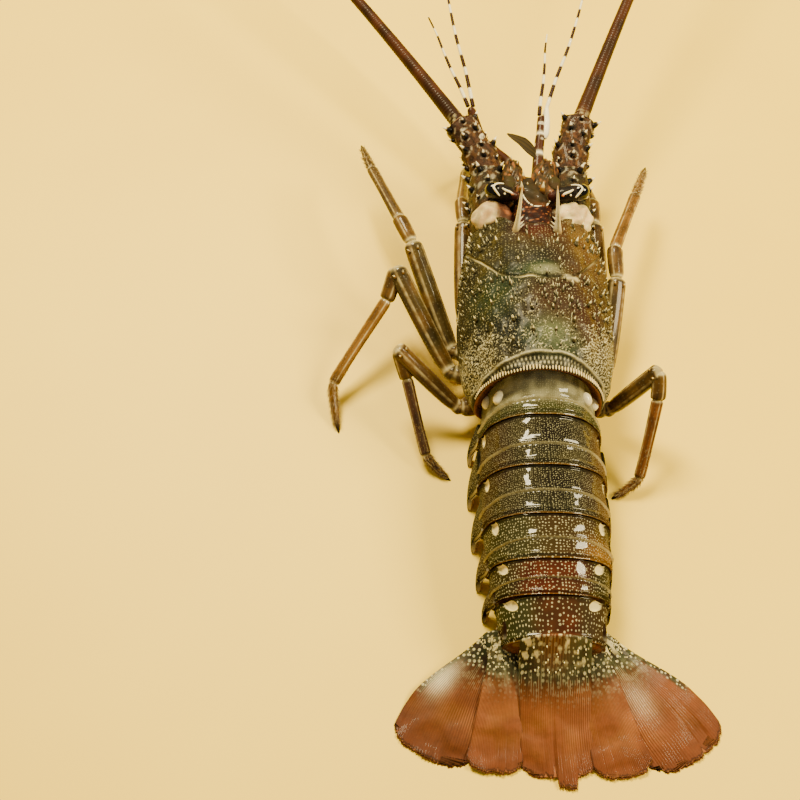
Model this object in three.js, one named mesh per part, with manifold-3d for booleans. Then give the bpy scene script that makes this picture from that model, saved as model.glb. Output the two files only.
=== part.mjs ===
// Scalloped spiny lobster, life size, lying on its belly with its tail fan spread.
// Millimetres. +Y runs to the head, +X to the animal's right, +Z up, floor at z = 0.
// While it is built, y = 0 lies 10 mm in front of the hind edge of the carapace.

import * as THREE from "three";
import { mergeVertices } from "three/addons/utils/BufferGeometryUtils.js";
import Module from "manifold-3d";

const wasm = await Module();
wasm.setup();

// Driving dimensions
const CARAPACE_LENGTH = 60;
const CARAPACE_HALF_WIDTH = 25.8;
const CARAPACE_TOP = 47.5;
const CARAPACE_FOOT = 12;
const ABDOMEN_LENGTH = 78;
const ABDOMEN_HALF_WIDTH = 20.3;
const ABDOMEN_TOP = 37;
const TELSON_LENGTH = 33.8;
const LASH_LENGTH = 238;
const GAP = 0.3;

// Places that follow from the driving dimensions
const CARAPACE_BACK = -10;
const CARAPACE_FRONT = CARAPACE_BACK + CARAPACE_LENGTH;
const WAIST_HEIGHT = 22;
const ABDOMEN_FRONT = CARAPACE_BACK + 5.7;
const ABDOMEN_BACK = CARAPACE_BACK - ABDOMEN_LENGTH;
const SIDES = { left: -1, right: 1 };
const UP = new THREE.Vector3(0, 0, 1);

// Colours and finish of each kind of part
const FINISHES = {
  shell: { color: 0x3a4026, roughness: 0.45 },
  underside: { color: 0x9c8a5c, roughness: 0.6 },
  eye: { color: 0x0b0908, roughness: 0.08 },
  stalk: { color: 0x2a1a22, roughness: 0.35 },
  antenna: { color: 0x6b5148, roughness: 0.5 },
  lash: { color: 0x4a2a18, roughness: 0.5 },
  band: { color: 0x5b3524, roughness: 0.5 },
  leg: { color: 0x7d6c34, roughness: 0.4 },
  fan: { color: 0xa8561f, roughness: 0.5 },
};

// Small mathematics

function vector(x, y, z) {
  return new THREE.Vector3(x, y, z);
}

function radians(degrees) {
  return THREE.MathUtils.degToRad(degrees);
}

// A smooth curve of value against place through a few stations [place, value].
function profile(stations) {
  const slopes = stations.map((station, index) => {
    const before = stations[Math.max(index - 1, 0)];
    const after = stations[Math.min(index + 1, stations.length - 1)];
    return (after[1] - before[1]) / (after[0] - before[0]);
  });
  return (place) => {
    const last = stations.length - 2;
    let index = 0;
    while (index < last && place > stations[index + 1][0]) {
      index += 1;
    }
    const [start, low] = stations[index];
    const [end, high] = stations[index + 1];
    const span = end - start;
    const t = THREE.MathUtils.clamp((place - start) / span, 0, 1);
    const rise = t * t * (3 - 2 * t);
    const ease = t * (1 - t);
    return low + (high - low) * rise
      + span * ease * ((1 - t) * slopes[index] - t * slopes[index + 1]);
  };
}

// A soft bump of height 1 round a centre.
function bump(place, centre, width) {
  return Math.exp(-(((place - centre) / width) ** 2));
}

// A unit direction from a bearing, outward from straight ahead, and a rise, in degrees.
function heading(side, bearing, rise) {
  const level = Math.cos(radians(rise));
  return vector(
    side * Math.sin(radians(bearing)) * level,
    Math.cos(radians(bearing)) * level,
    Math.sin(radians(rise)),
  );
}

// Closed bodies

function barePositions(geometry) {
  geometry.deleteAttribute("normal");
  geometry.deleteAttribute("uv");
  return mergeVertices(geometry);
}

function signedVolume(geometry) {
  const position = geometry.attributes.position;
  const index = geometry.index.array;
  const [a, b, c] = [vector(), vector(), vector()];
  let volume = 0;
  for (let corner = 0; corner < index.length; corner += 3) {
    a.fromBufferAttribute(position, index[corner]);
    b.fromBufferAttribute(position, index[corner + 1]);
    c.fromBufferAttribute(position, index[corner + 2]);
    volume += a.dot(b.cross(c)) / 6;
  }
  return volume;
}

function solid(geometry) {
  const index = Uint32Array.from(geometry.index.array);
  if (signedVolume(geometry) < 0) {
    for (let corner = 0; corner < index.length; corner += 3) {
      [index[corner + 1], index[corner + 2]] = [index[corner + 2], index[corner + 1]];
    }
  }
  const vertProperties = Float32Array.from(geometry.attributes.position.array);
  return new wasm.Manifold(new wasm.Mesh({ numProp: 3, vertProperties, triVerts: index }));
}

// A solid whose skin is a cylinder carried to new places. The rule place(around, along, reach)
// gets the angle from the top, the share of the length and 1 on the skin or 0 on the axis.
function carried(sides, steps, place) {
  const geometry = barePositions(new THREE.CylinderGeometry(1, 1, 1, sides, steps));
  const position = geometry.attributes.position;
  for (let index = 0; index < position.count; index += 1) {
    const x = position.getX(index);
    const z = position.getZ(index);
    const along = position.getY(index) + 0.5;
    const spot = place(Math.atan2(x, z), along, Math.hypot(x, z) > 0.5 ? 1 : 0);
    position.setXYZ(index, spot.x, spot.y, spot.z);
  }
  return solid(geometry);
}

// The place, direction, right and upper side of a path at a place counted in its points.
function pathFrame(points, bend = 0.35) {
  const path = new THREE.CatmullRomCurve3(points, false, "catmullrom", bend);
  const spans = points.length - 1;
  return (place) => {
    const share = THREE.MathUtils.clamp(place / spans, 0, 1);
    const tangent = path.getTangent(share);
    const across = vector().crossVectors(tangent, UP).normalize();
    const lift = vector().crossVectors(across, tangent);
    return { point: path.getPoint(share), tangent, across, lift };
  };
}

// A tapered limb along a path. Rings are [place along the path, half width, half thickness].
function limb(points, rings, options = {}) {
  const { sides = 8, grow = 0, bend } = options;
  const frameAt = pathFrame(points, bend);
  return carried(sides, rings.length - 1, (around, along, reach) => {
    const step = Math.round(along * (rings.length - 1));
    const [place, wide, thick] = rings[step];
    const { point, tangent, across, lift } = frameAt(place);
    const end = step === 0 ? -1 : Number(step === rings.length - 1);
    return point
      .addScaledVector(tangent, end * grow)
      .addScaledVector(across, Math.sin(around) * (wide + grow) * reach)
      .addScaledVector(lift, Math.cos(around) * (thick + grow) * reach);
  });
}

// A plate over a square grid, with the same triangles on both faces. The rule
// place(across, along, face, column) gets two shares and 1 on the upper or 0 on the lower face.
function slab(columns, rows, place) {
  const sheet = new THREE.PlaneGeometry(1, 1, columns, rows);
  const spots = sheet.attributes.position;
  const vertices = [];
  for (const face of [1, 0]) {
    for (let index = 0; index < spots.count; index += 1) {
      const column = index % (columns + 1);
      const spot = place(spots.getX(index) + 0.5, 0.5 - spots.getY(index), face, column);
      vertices.push(spot.x, spot.y, spot.z);
    }
  }
  const rim = [];
  for (let column = 0; column < columns; column += 1) {
    rim.push(column);
  }
  for (let row = 0; row < rows; row += 1) {
    rim.push(row * (columns + 1) + columns);
  }
  for (let column = columns; column > 0; column -= 1) {
    rim.push(rows * (columns + 1) + column);
  }
  for (let row = rows; row > 0; row -= 1) {
    rim.push(row * (columns + 1));
  }
  const upper = Array.from(sheet.index.array);
  const lower = upper.map((corner) => corner + spots.count).reverse();
  const edge = rim.flatMap((from, index) => {
    const to = rim[(index + 1) % rim.length];
    return [from, to, to + spots.count, from, to + spots.count, from + spots.count];
  });
  const geometry = new THREE.BufferGeometry();
  geometry.setAttribute("position", new THREE.Float32BufferAttribute(vertices, 3));
  geometry.setIndex([...upper, ...lower, ...edge]);
  return solid(geometry);
}

// A four-sided spine with its root sunk into the surface it grows from.
const SPINE_SUNK = 0.9;
const SPINE_STOUTNESS = 0.3;

function spine(foot, way, length) {
  const root = SPINE_STOUTNESS * length + 0.25;
  const geometry = barePositions(new THREE.ConeGeometry(root, length + SPINE_SUNK, 4));
  geometry.translate(0, (length - SPINE_SUNK) / 2, 0);
  geometry.applyQuaternion(new THREE.Quaternion().setFromUnitVectors(vector(0, 1, 0), way));
  geometry.translate(foot.x, foot.y, foot.z);
  return solid(geometry);
}

// Spines on a limb, each [place along the path, degrees outward from its top, length].
const SPINE_LEAN = 0.7;

function limbSpines(points, rings, spines, options = {}) {
  const { side = 1, bend } = options;
  const frameAt = pathFrame(points, bend);
  const wideAt = profile(rings.map(([place, wide]) => [place, wide]));
  const thickAt = profile(rings.map(([place, , thick]) => [place, thick]));
  return spines.map(([place, degrees, length]) => {
    const { point, tangent, across, lift } = frameAt(place);
    const angle = side * radians(degrees);
    const foot = point
      .addScaledVector(across, Math.sin(angle) * wideAt(place))
      .addScaledVector(lift, Math.cos(angle) * thickAt(place));
    const way = vector()
      .addScaledVector(across, Math.sin(angle))
      .addScaledVector(lift, Math.cos(angle))
      .addScaledVector(tangent, SPINE_LEAN)
      .normalize();
    return spine(foot, way, length);
  });
}

function ball(centre, radii, options = {}) {
  const { sides = 12, rings = 8, grow = 0, towards = vector(1, 0, 0) } = options;
  const geometry = barePositions(new THREE.SphereGeometry(1, sides, rings));
  geometry.scale(radii.x + grow, radii.y + grow, radii.z + grow);
  const turn = new THREE.Quaternion().setFromUnitVectors(vector(1, 0, 0), towards);
  geometry.applyQuaternion(turn);
  geometry.translate(centre.x, centre.y, centre.z);
  return solid(geometry);
}

function block(low, high) {
  const size = vector().subVectors(high, low);
  const geometry = barePositions(new THREE.BoxGeometry(size.x, size.y, size.z));
  const middle = vector().addVectors(low, high).multiplyScalar(0.5);
  geometry.translate(middle.x, middle.y, middle.z);
  return solid(geometry);
}

const FAR = 500;
const BELOW_FLOOR = block(vector(-FAR, -FAR, -FAR), vector(FAR, FAR, 0));

function fuse(pieces) {
  return pieces.reduce((whole, piece) => whole.add(piece));
}

function clearOf(piece, neighbours) {
  return neighbours.reduce((rest, neighbour) => rest.subtract(neighbour), piece);
}

// The largest closed surface of a body, which drops scraps and fills sealed hollows.
function largest(body) {
  const surfaces = body.decompose();
  return surfaces.reduce((best, next) => (next.volume() > best.volume() ? next : best));
}

const lobster = new THREE.Group();

function addNode(name, body, finish) {
  const mesh = largest(body).getMesh();
  const geometry = new THREE.BufferGeometry();
  geometry.setAttribute("position", new THREE.BufferAttribute(mesh.vertProperties, 3));
  geometry.setIndex(new THREE.BufferAttribute(mesh.triVerts, 1));
  const { color, roughness } = FINISHES[finish];
  const material = new THREE.MeshStandardMaterial({ color, roughness, metalness: 0 });
  const node = new THREE.Mesh(geometry, material);
  node.name = name;
  lobster.add(node);
}

// Carapace: a vault with a flat underside, wider than it is high, whose rings run from the hind
// edge over the cervical groove, which sweeps forward down both sides, to the front edge.

const vaultHalfWidth = profile([
  [CARAPACE_BACK, 0.8], [-2, 0.93], [8, 0.98], [20, 1], [35, 0.99], [50, 0.93], [58, 0.85], [66, 0.7],
].map(([y, share]) => [y, share * CARAPACE_HALF_WIDTH]));
const vaultTop = profile([
  [CARAPACE_BACK, -3.6], [-4, -1.9], [5, -0.4], [14, 0], [24, -0.9], [38, -2.6], [50, -5.6], [66, -11],
].map(([y, drop]) => [y, CARAPACE_TOP + drop]));

// The middle of the back runs a little to the left towards its hind end.
const vaultMiddle = profile([[CARAPACE_BACK, -0.6], [15, -0.5], [35, -0.3], [60, 0]]);

// How far the front edge runs ahead of its middle, against the angle from the top in degrees:
// a bay over each eye, then the corner spine, then the cheek.
const CORNER_ANGLE = 54;
const frontEdge = profile([
  [0, 0], [22, 0], [36, -2.5], [46, 4], [CORNER_ANGLE, 10.5], [64, 8], [78, 9], [95, 8], [180, 5],
]);
const grooveSweep = profile([[0, 0], [25, 2], [50, 14], [75, 25], [110, 28], [180, 20]]);
const CERVICAL_GROOVE = 24.5;
const HIND_GROOVE = 0.16;
const GROOVE_DEPTH = 1.1;
const CARAPACE_STEPS_BEHIND = 9;
const CARAPACE_STEPS_AHEAD = 7;
const CARAPACE_SIDES = 34;

function vaultPoint(around, y, grow = 0, sink = 0) {
  const halfWidth = vaultHalfWidth(y) + grow - sink;
  const rise = Math.cos(around);
  const spread = Math.sin(around);
  if (rise >= 0) {
    const height = vaultTop(y) + grow - sink - WAIST_HEIGHT;
    return vector(vaultMiddle(y) + halfWidth * spread, y, WAIST_HEIGHT + height * rise);
  }
  const depth = WAIST_HEIGHT - CARAPACE_FOOT + grow;
  const width = halfWidth * Math.sign(spread) * Math.abs(spread) ** 0.5;
  return vector(vaultMiddle(y) + width, y, WAIST_HEIGHT - depth * Math.abs(rise) ** 0.7);
}

// The ring at place 0 is the hind edge, 1 the cervical groove and 2 the front edge.
function vaultY(around, place) {
  const angle = Math.abs(THREE.MathUtils.radToDeg(around));
  const groove = CERVICAL_GROOVE + grooveSweep(angle);
  const front = CARAPACE_FRONT + frontEdge(angle);
  return place < 1
    ? THREE.MathUtils.lerp(CARAPACE_BACK, groove, place)
    : THREE.MathUtils.lerp(groove, front, place - 1);
}

function vault(grow = 0) {
  const steps = CARAPACE_STEPS_BEHIND + CARAPACE_STEPS_AHEAD;
  return carried(CARAPACE_SIDES, steps, (around, along, reach) => {
    const step = Math.round(along * steps);
    const ahead = Math.max(step - CARAPACE_STEPS_BEHIND, 0) / CARAPACE_STEPS_AHEAD;
    const place = Math.min(step / CARAPACE_STEPS_BEHIND, 1) + ahead;
    const end = step === 0 ? -1 : Number(step === steps);
    if (!reach) {
      const y = end < 0 ? CARAPACE_BACK : CARAPACE_FRONT - 5;
      return vector(0, y + end * grow, WAIST_HEIGHT + 3);
    }
    const grooves = bump(place, 1, 0.05) + 0.6 * bump(place, HIND_GROOVE, 0.04);
    const sink = grow > 0 || Math.cos(around) < 0 ? 0 : GROOVE_DEPTH * grooves;
    return vaultPoint(around, vaultY(around, place) + end * grow, grow, sink);
  });
}

// The recess under the hind edge, into which the first somite fits.
const RIM = 2;
const RECESS_DEPTH = 6;

function hindRecess() {
  return carried(28, 1, (around, along, reach) => {
    const y = CARAPACE_BACK - 1 + along * (RECESS_DEPTH + 1);
    const edge = vaultPoint(around, Math.max(y, CARAPACE_BACK), Number(Math.cos(around) < 0), RIM);
    return vector(edge.x * reach, y, THREE.MathUtils.lerp(WAIST_HEIGHT, edge.z, reach));
  });
}

const HORN = { x: 7.3, y: 47.5, lean: 6, rise: 66, length: 16, root: 2.6 };

const HORN_RINGS = [[0, HORN.root, HORN.root], [1, 1.5, 1.7], [1.7, 0.6, 0.7], [2, 0.1, 0.1]];

function horn(side) {
  const foot = vector(side * HORN.x, HORN.y, vaultTop(HORN.y) - 3.5);
  const way = heading(side, -HORN.lean * 2, HORN.rise);
  const tip = foot.clone().addScaledVector(way, HORN.length);
  const middle = foot.clone().lerp(tip, 0.5).add(vector(0, -1, 0.6));
  return limb([foot, middle, tip], HORN_RINGS);
}

// The corner spine stands at each side of the front edge, under the eye.
const CORNER = { length: 9, rise: 14, back: 3, root: 1.9 };

function cornerSpine(side, grow = 0) {
  const around = side * radians(CORNER_ANGLE);
  const foot = vaultPoint(around, vaultY(around, 2) - CORNER.back, 0, 1);
  const tip = foot.clone().addScaledVector(heading(side, -4, CORNER.rise), CORNER.length + CORNER.back);
  const rings = [[0, 1], [0.5, 0.7], [1, 0.08]].map(([place, share]) => (
    [place, share * CORNER.root, share * CORNER.root]
  ));
  return limb([foot, tip], rings, { sides: 6, grow });
}

// Rows of spines, each at a share of the way from the hind edge (0) over the cervical groove (1)
// to the front edge (2). Angles are from the top, in degrees.
const SPINE_ROWS = [
  { angle: 15, places: [1.6, 1.25], length: 3 },
  { angle: 32, places: [1.85, 1.6, 1.3], length: 3.4 },
  { angle: 47, places: [1.82, 1.58, 1.3], length: 3.2 },
  { angle: 63, places: [1.72, 1.45, 1.2, 0.92], length: 2.8 },
  { angle: 8, places: [0.84, 0.6, 0.36], length: 1.6 },
  { angle: 22, places: [0.9, 0.7, 0.48, 0.28], length: 1.7 },
  { angle: 37, places: [0.86, 0.62, 0.4], length: 1.7 },
  { angle: 53, places: [0.88, 0.68, 0.46, 0.28], length: 1.8 },
  { angle: 70, places: [0.8, 0.58, 0.36], length: 1.6 },
];
const CARAPACE_SPINE_LEAN = 0.9;

function carapaceSpine(side, angle, place, length) {
  const around = side * radians(angle);
  const y = vaultY(around, place);
  const foot = vaultPoint(around, y);
  const along = vaultPoint(around, y + 1).sub(vaultPoint(around, y - 1)).normalize();
  const across = vaultPoint(around + 0.02, y).sub(vaultPoint(around - 0.02, y)).normalize();
  const way = vector().crossVectors(across, along).addScaledVector(along, CARAPACE_SPINE_LEAN).normalize();
  return spine(foot, way, length);
}

function carapace() {
  const pieces = [vault()];
  for (const side of Object.values(SIDES)) {
    pieces.push(horn(side), cornerSpine(side));
    for (const { angle, places, length } of SPINE_ROWS) {
      pieces.push(...places.map((place) => carapaceSpine(side, angle, place, length)));
    }
  }
  return fuse(pieces).subtract(hindRecess());
}

const carapaceClearance = fuse([vault(GAP), cornerSpine(SIDES.left, GAP), cornerSpine(SIDES.right, GAP)]);

// Sternum: a plate that widens to the back between the feet of the legs.

const STERNUM = { back: -13, front: 44, halfBack: 13.5, halfFront: 6, low: 5, high: 13 };

function sternum(grow = 0) {
  return carried(12, 4, (around, along, reach) => {
    const y = THREE.MathUtils.lerp(STERNUM.back - grow, STERNUM.front + grow, along);
    const half = THREE.MathUtils.lerp(STERNUM.halfBack, STERNUM.halfFront, along) + grow;
    const middle = (STERNUM.low + STERNUM.high) / 2;
    const deep = (STERNUM.high - STERNUM.low) / 2 + grow;
    const spread = Math.sign(Math.sin(around)) * Math.abs(Math.sin(around)) ** 0.5;
    const rise = Math.sign(Math.cos(around)) * Math.abs(Math.cos(around)) ** 0.5;
    return vector(half * spread * reach, y, middle + deep * rise * reach);
  });
}

// Abdomen: six somites, each a vault whose hind edge stands over the next one, with a groove
// across its back and a hooked plate on each side that reaches the floor.

const SOMITES = [
  { end: -21.6, groove: 0.66, drop: 1.2, narrower: 0.5 },
  { end: -38, groove: 0.55, drop: 3.5, narrower: 0, paddles: true },
  { end: -53.3, groove: 0.5, drop: 5.5, narrower: 0.5, paddles: true },
  { end: -66.6, groove: 0.52, drop: 8, narrower: 1.5, paddles: true },
  { end: -76.8, groove: 0.5, drop: 10.6, narrower: 3, paddles: true },
  { end: ABDOMEN_BACK, drop: 17, narrower: 5.3 },
].map(({ drop, narrower, ...somite }) => (
  { ...somite, top: ABDOMEN_TOP - drop, half: ABDOMEN_HALF_WIDTH - narrower }
));
const ABDOMEN_FOOT = 9.5;
const ABDOMEN_WAIST = 12;
const LIP = 0.8;
const SOMITE_SIDES = 22;
const SOMITE_STEPS = 6;

// The middle of the tail runs a little to the right towards its end.
const tailMiddle = profile([[ABDOMEN_BACK, 1.2], [-60, 0.8], [-30, 0], [ABDOMEN_FRONT, 0]]);

function somiteStart(index) {
  return index === 0 ? ABDOMEN_FRONT : SOMITES[index - 1].end;
}

// Height and half width of the somite's back at a share of its length, from front to hind edge.
function somiteSize(index, share) {
  const { top, half, groove } = SOMITES[index];
  const before = index === 0 ? { top: ABDOMEN_TOP, half: half - 3 } : SOMITES[index - 1];
  const step = index === 0 ? 0 : LIP;
  const dip = groove ? 0.45 * bump(share, groove, 0.08) : 0;
  return {
    top: THREE.MathUtils.lerp(before.top - step, top, share) - dip,
    half: THREE.MathUtils.lerp(before.half - step, half, share) - dip,
  };
}

function somiteVault(index, grow = 0) {
  const start = somiteStart(index);
  const { end } = SOMITES[index];
  return carried(SOMITE_SIDES, SOMITE_STEPS, (around, along, reach) => {
    const front = along === 0 ? grow : 0;
    const back = along === 1 ? GAP - grow : 0;
    const y = THREE.MathUtils.lerp(start, end, along) + front + back;
    const { top, half } = somiteSize(index, along);
    const rise = Math.cos(around);
    const low = ABDOMEN_WAIST - ABDOMEN_FOOT;
    const height = rise >= 0
      ? (top - ABDOMEN_WAIST + grow) * rise ** 0.9
      : -(low + grow) * Math.abs(rise) ** 0.6;
    const width = (half + grow) * Math.sign(Math.sin(around)) * Math.abs(Math.sin(around)) ** 0.85;
    return vector(tailMiddle(y) + width * reach, y, ABDOMEN_WAIST + height * reach);
  });
}

// The side plate of a somite: broad above, and drawn out below into a hook that points back
// and rests on the floor.
const SIDE_PLATE_TOP = ABDOMEN_WAIST + 4;
const PLATE_THICK = 1.8;
const PLATE_LEAN = 0.08;
const HOOK_TIP = 1.8;
const HOOK_WIDTH = 2.6;

function sidePlate(index, side, grow = 0) {
  const { end, half } = SOMITES[index];
  const front = Math.min(somiteStart(index) - 1.2, CARAPACE_BACK - 3) + grow;
  const back = end + 1.5 - grow;
  const tip = end + HOOK_TIP - grow;
  const outline = new THREE.Shape();
  outline.moveTo(front, SIDE_PLATE_TOP);
  outline.quadraticCurveTo(front - 0.5, 5, tip + HOOK_WIDTH + 2 * grow, -0.5 - grow);
  outline.lineTo(tip, -0.5 - grow);
  outline.quadraticCurveTo(tip + 0.4, 2.5, tip + 1.8, 4.5);
  outline.quadraticCurveTo(back + 1.6, 8, back, SIDE_PLATE_TOP);
  const depth = PLATE_THICK + 2 * grow;
  const geometry = barePositions(
    new THREE.ExtrudeGeometry(outline, { depth, bevelEnabled: false, curveSegments: 3 }),
  );
  geometry.applyMatrix4(new THREE.Matrix4().makeBasis(vector(0, 1, 0), vector(0, 0, 1), vector(1, 0, 0)));
  geometry.applyMatrix4(new THREE.Matrix4().makeShear(0, 0, 0, 0, -PLATE_LEAN * side, 0));
  const inner = half - PLATE_THICK + 0.1 + PLATE_LEAN * SIDE_PLATE_TOP;
  geometry.translate(tailMiddle(end) + side * inner - (side < 0 ? depth - grow : grow), 0, 0);
  return solid(geometry);
}

// A swimmeret: a thin paddle that lies back under the belly.
const PADDLE = { x: 5.4, root: 6.5, length: 14, low: 4.6 };
const PADDLE_RINGS = [[0, 1.6, 0.8], [0.6, 2.6, 0.5], [1.2, 3.4, 0.4], [1.7, 2.6, 0.35], [2, 1, 0.3]];

function paddle(index, side) {
  const { end } = SOMITES[index];
  const x = tailMiddle(end) + side * PADDLE.x;
  const foot = vector(x, end + PADDLE.root, ABDOMEN_FOOT + 1.4);
  const tip = vector(x + 0.6 * side, end + PADDLE.root - PADDLE.length, PADDLE.low);
  const middle = foot.clone().lerp(tip, 0.45).add(vector(0, 0, -1.6));
  return limb([foot, middle, tip], PADDLE_RINGS, { sides: 6 });
}

function somite(index) {
  const pieces = [somiteVault(index)];
  const ahead = [];
  for (const side of Object.values(SIDES)) {
    pieces.push(sidePlate(index, side));
    if (SOMITES[index].paddles) {
      pieces.push(paddle(index, side));
    }
    if (index > 0) {
      ahead.push(sidePlate(index - 1, side, GAP));
    }
  }
  return clearOf(fuse(pieces).subtract(BELOW_FLOOR), ahead);
}

// Tail fan: a telson and two blades on each side, hard at the root and thin at the edge.

const FAN_THICK_ROOT = 4;
const FAN_THICK_EDGE = 0.9;
const FAN_SLOPE_END = 0.45;
const RAY_HEIGHT = 0.35;
const RAY_START = 0.3;

// Each blade spans two bearings from its root, in degrees outward from straight back. The tail is
// turned a little to the right, and the fan is spread further on that side.
const TELSON_ROOT = { x: 1.3, y: ABDOMEN_BACK + 0.5, root: 10.4, lift: 15, bow: 0 };
const TELSON = { ...TELSON_ROOT, from: -5.5, to: 8.5, reach: TELSON_LENGTH };
const INNER_ROOT = { x: 12, y: ABDOMEN_BACK + 3.5, root: 4.5, lift: 13, bow: 0 };
const OUTER_ROOT = { x: 15, y: ABDOMEN_BACK + 6, root: 3.5, lift: 11, bow: 8 };
const BLADES = {
  left: {
    inner: { ...INNER_ROOT, from: -2, to: 16, reach: 36 },
    outer: { ...OUTER_ROOT, from: 21, to: 48.5, reach: 40 },
  },
  right: {
    inner: { ...INNER_ROOT, from: 5, to: 24, reach: 37.5 },
    outer: { ...OUTER_ROOT, from: 28.5, to: 55.5, reach: 43 },
  },
};
const BLADE_COLUMNS = 12;
const BLADE_ROWS = 5;

// A point of a blade's outline plan, with share across it and along it from 0 to 1.
function bladePoint(blade, across, along) {
  const bow = blade.bow * across * Math.sin(Math.PI * along);
  const bearing = radians(THREE.MathUtils.lerp(blade.from, blade.to, across) + bow);
  const length = blade.reach * along * (1 - 0.09 * (2 * across - 1) ** 4);
  const spread = THREE.MathUtils.lerp(-blade.root, blade.root, across) * (1 - 0.35 * along);
  return [blade.x + spread + Math.sin(bearing) * length, blade.y - Math.cos(bearing) * length];
}

function fanBlade(blade, side, grow = 0) {
  return slab(BLADE_COLUMNS, BLADE_ROWS, (across, along, face, column) => {
    const [x, y] = bladePoint(blade, across, along);
    const fall = (1 - along) ** 1.6;
    const low = blade.lift * fall * FAN_SLOPE_END;
    const thick = THREE.MathUtils.lerp(FAN_THICK_EDGE, FAN_THICK_ROOT + blade.lift * 0.25, fall);
    const ray = column % 2 === 1 && along > RAY_START ? RAY_HEIGHT : 0;
    return vector(side * x, y, low + face * (thick + ray) + (face - 0.5) * 2 * grow);
  });
}

// Eyes and the plate between the antennae

const EYE = { x: 14.8, y: 69.8, z: 38.2, along: 3.9, across: 3.5 };
const STALK = { x: 6.2, y: 66, z: 36.4, radius: 2.9 };

function eyeWay(side) {
  return vector(side * (EYE.x - STALK.x), EYE.y - STALK.y, EYE.z - STALK.z).normalize();
}

function eye(side, grow = 0) {
  const centre = vector(side * EYE.x, EYE.y, EYE.z);
  const radii = vector(EYE.along, EYE.across, EYE.across);
  return ball(centre, radii, { grow, towards: eyeWay(side) });
}

function eyestalk(side, grow = 0) {
  const foot = vector(side * STALK.x, STALK.y, STALK.z);
  const end = vector(side * EYE.x, EYE.y, EYE.z);
  const rings = [[0, STALK.radius * 0.85, 2.4], [0.4, STALK.radius * 0.8, 2.4], [1, STALK.radius, 2.9]];
  return limb([foot, end], rings, { sides: 10, grow });
}

// Rings of the plate: [y, half width, lower side, upper side].
const PLATE_RINGS = [
  [44, 7.4, 17, 38.5], [58, 7.2, 17, 38], [66, 6.8, 17, 36.6], [78, 6.2, 17, 35], [84, 4.6, 19, 31],
];

function antennularPlate(grow = 0) {
  return carried(14, PLATE_RINGS.length - 1, (around, along, reach) => {
    const [y, half, low, high] = PLATE_RINGS[Math.round(along * (PLATE_RINGS.length - 1))];
    const end = along === 0 ? -1 : Number(along === 1);
    const spread = Math.sign(Math.sin(around)) * Math.abs(Math.sin(around)) ** 0.6;
    const rise = Math.sign(Math.cos(around)) * Math.abs(Math.cos(around)) ** 0.6;
    const deep = (high - low) / 2 + grow;
    return vector((half + grow) * spread * reach, y + end * grow, (low + high) / 2 + deep * rise * reach);
  });
}

const PLATE_SPINES = [[3.6, 71.5], [2.6, 78.5]];
const PLATE_SPINE_LENGTH = 2.2;

const plateTop = profile(PLATE_RINGS.map(([y, , , high]) => [y, high]));

function plateSpines() {
  const way = vector(0, 0.6, 1).normalize();
  return Object.values(SIDES).flatMap((side) => PLATE_SPINES.map(([x, y]) => (
    spine(vector(side * x, y, plateTop(y)), way, PLATE_SPINE_LENGTH)
  )));
}

// Antennae: three stout segments and a long stiff lash in two lengths on each side.

const ANTENNA = {
  left: { middle: 20, wrist: 33, lash: 37 },
  right: { middle: 8, wrist: 16, lash: 21 },
};
const BASE_START = { x: 14.2, y: 52, z: 23 };
const BASE_END = { x: 14.6, y: 87, z: 27.5 };
const MIDDLE_LENGTH = 11;
const WRIST_LENGTH = 12.5;
const PEDUNCLE_RISE = 14;
const BASE_RINGS = [[0, 6.9, 10], [0.45, 7.2, 9.6], [0.8, 7.2, 7.6], [1, 6.4, 6.2]];
const MIDDLE_RINGS = [[0, 5.6, 5.2], [0.3, 6.6, 6], [0.8, 6.4, 5.8], [1, 5.4, 5]];
const WRIST_RINGS = [[0, 4.9, 4.6], [0.3, 5.8, 5.2], [0.75, 6, 5.4], [1, 4.6, 4.4]];

// Spines of the stout segments, each [place, degrees outward from the top, length].
const BASE_SPINES = [
  [0.95, -35, 3], [0.93, 30, 3.2], [0.9, 85, 3.4], [0.75, 5, 2], [0.7, 60, 2.6], [0.62, 95, 2.8],
  [0.5, 75, 2.4],
];
const MIDDLE_SPINES = [[0.9, -50, 2.8], [0.92, 55, 3], [0.5, 5, 2.2], [0.45, 95, 2.4], [0.85, 0, 1.8]];
const WRIST_SPINES = [[0.86, -60, 2.8], [0.86, 70, 3], [0.5, -20, 2.4], [0.42, 35, 2.2], [0.6, 95, 2]];

function antennaJoints(sideName) {
  const side = SIDES[sideName];
  const bearings = ANTENNA[sideName];
  const start = vector(side * BASE_START.x, BASE_START.y, BASE_START.z);
  const elbow = vector(side * BASE_END.x, BASE_END.y, BASE_END.z);
  const wrist = elbow.clone().addScaledVector(heading(side, bearings.middle, PEDUNCLE_RISE), MIDDLE_LENGTH);
  const end = wrist.clone().addScaledVector(heading(side, bearings.wrist, PEDUNCLE_RISE), WRIST_LENGTH);
  return { start, elbow, wrist, end };
}

// One stout segment, with its spines unless it is grown to make room for it in its neighbours.
function antennaSegment(points, rings, spines, side, grow) {
  const body = limb(points, rings, { sides: 10, grow });
  return grow > 0 ? body : fuse([body, ...limbSpines(points, rings, spines, { side })]);
}

function antennaBase(sideName, grow = 0) {
  const { start, elbow } = antennaJoints(sideName);
  return antennaSegment([start, elbow], BASE_RINGS, BASE_SPINES, SIDES[sideName], grow);
}

function antennaMiddle(sideName, grow = 0) {
  const { elbow, wrist } = antennaJoints(sideName);
  return antennaSegment([elbow, wrist], MIDDLE_RINGS, MIDDLE_SPINES, SIDES[sideName], grow);
}

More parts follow.
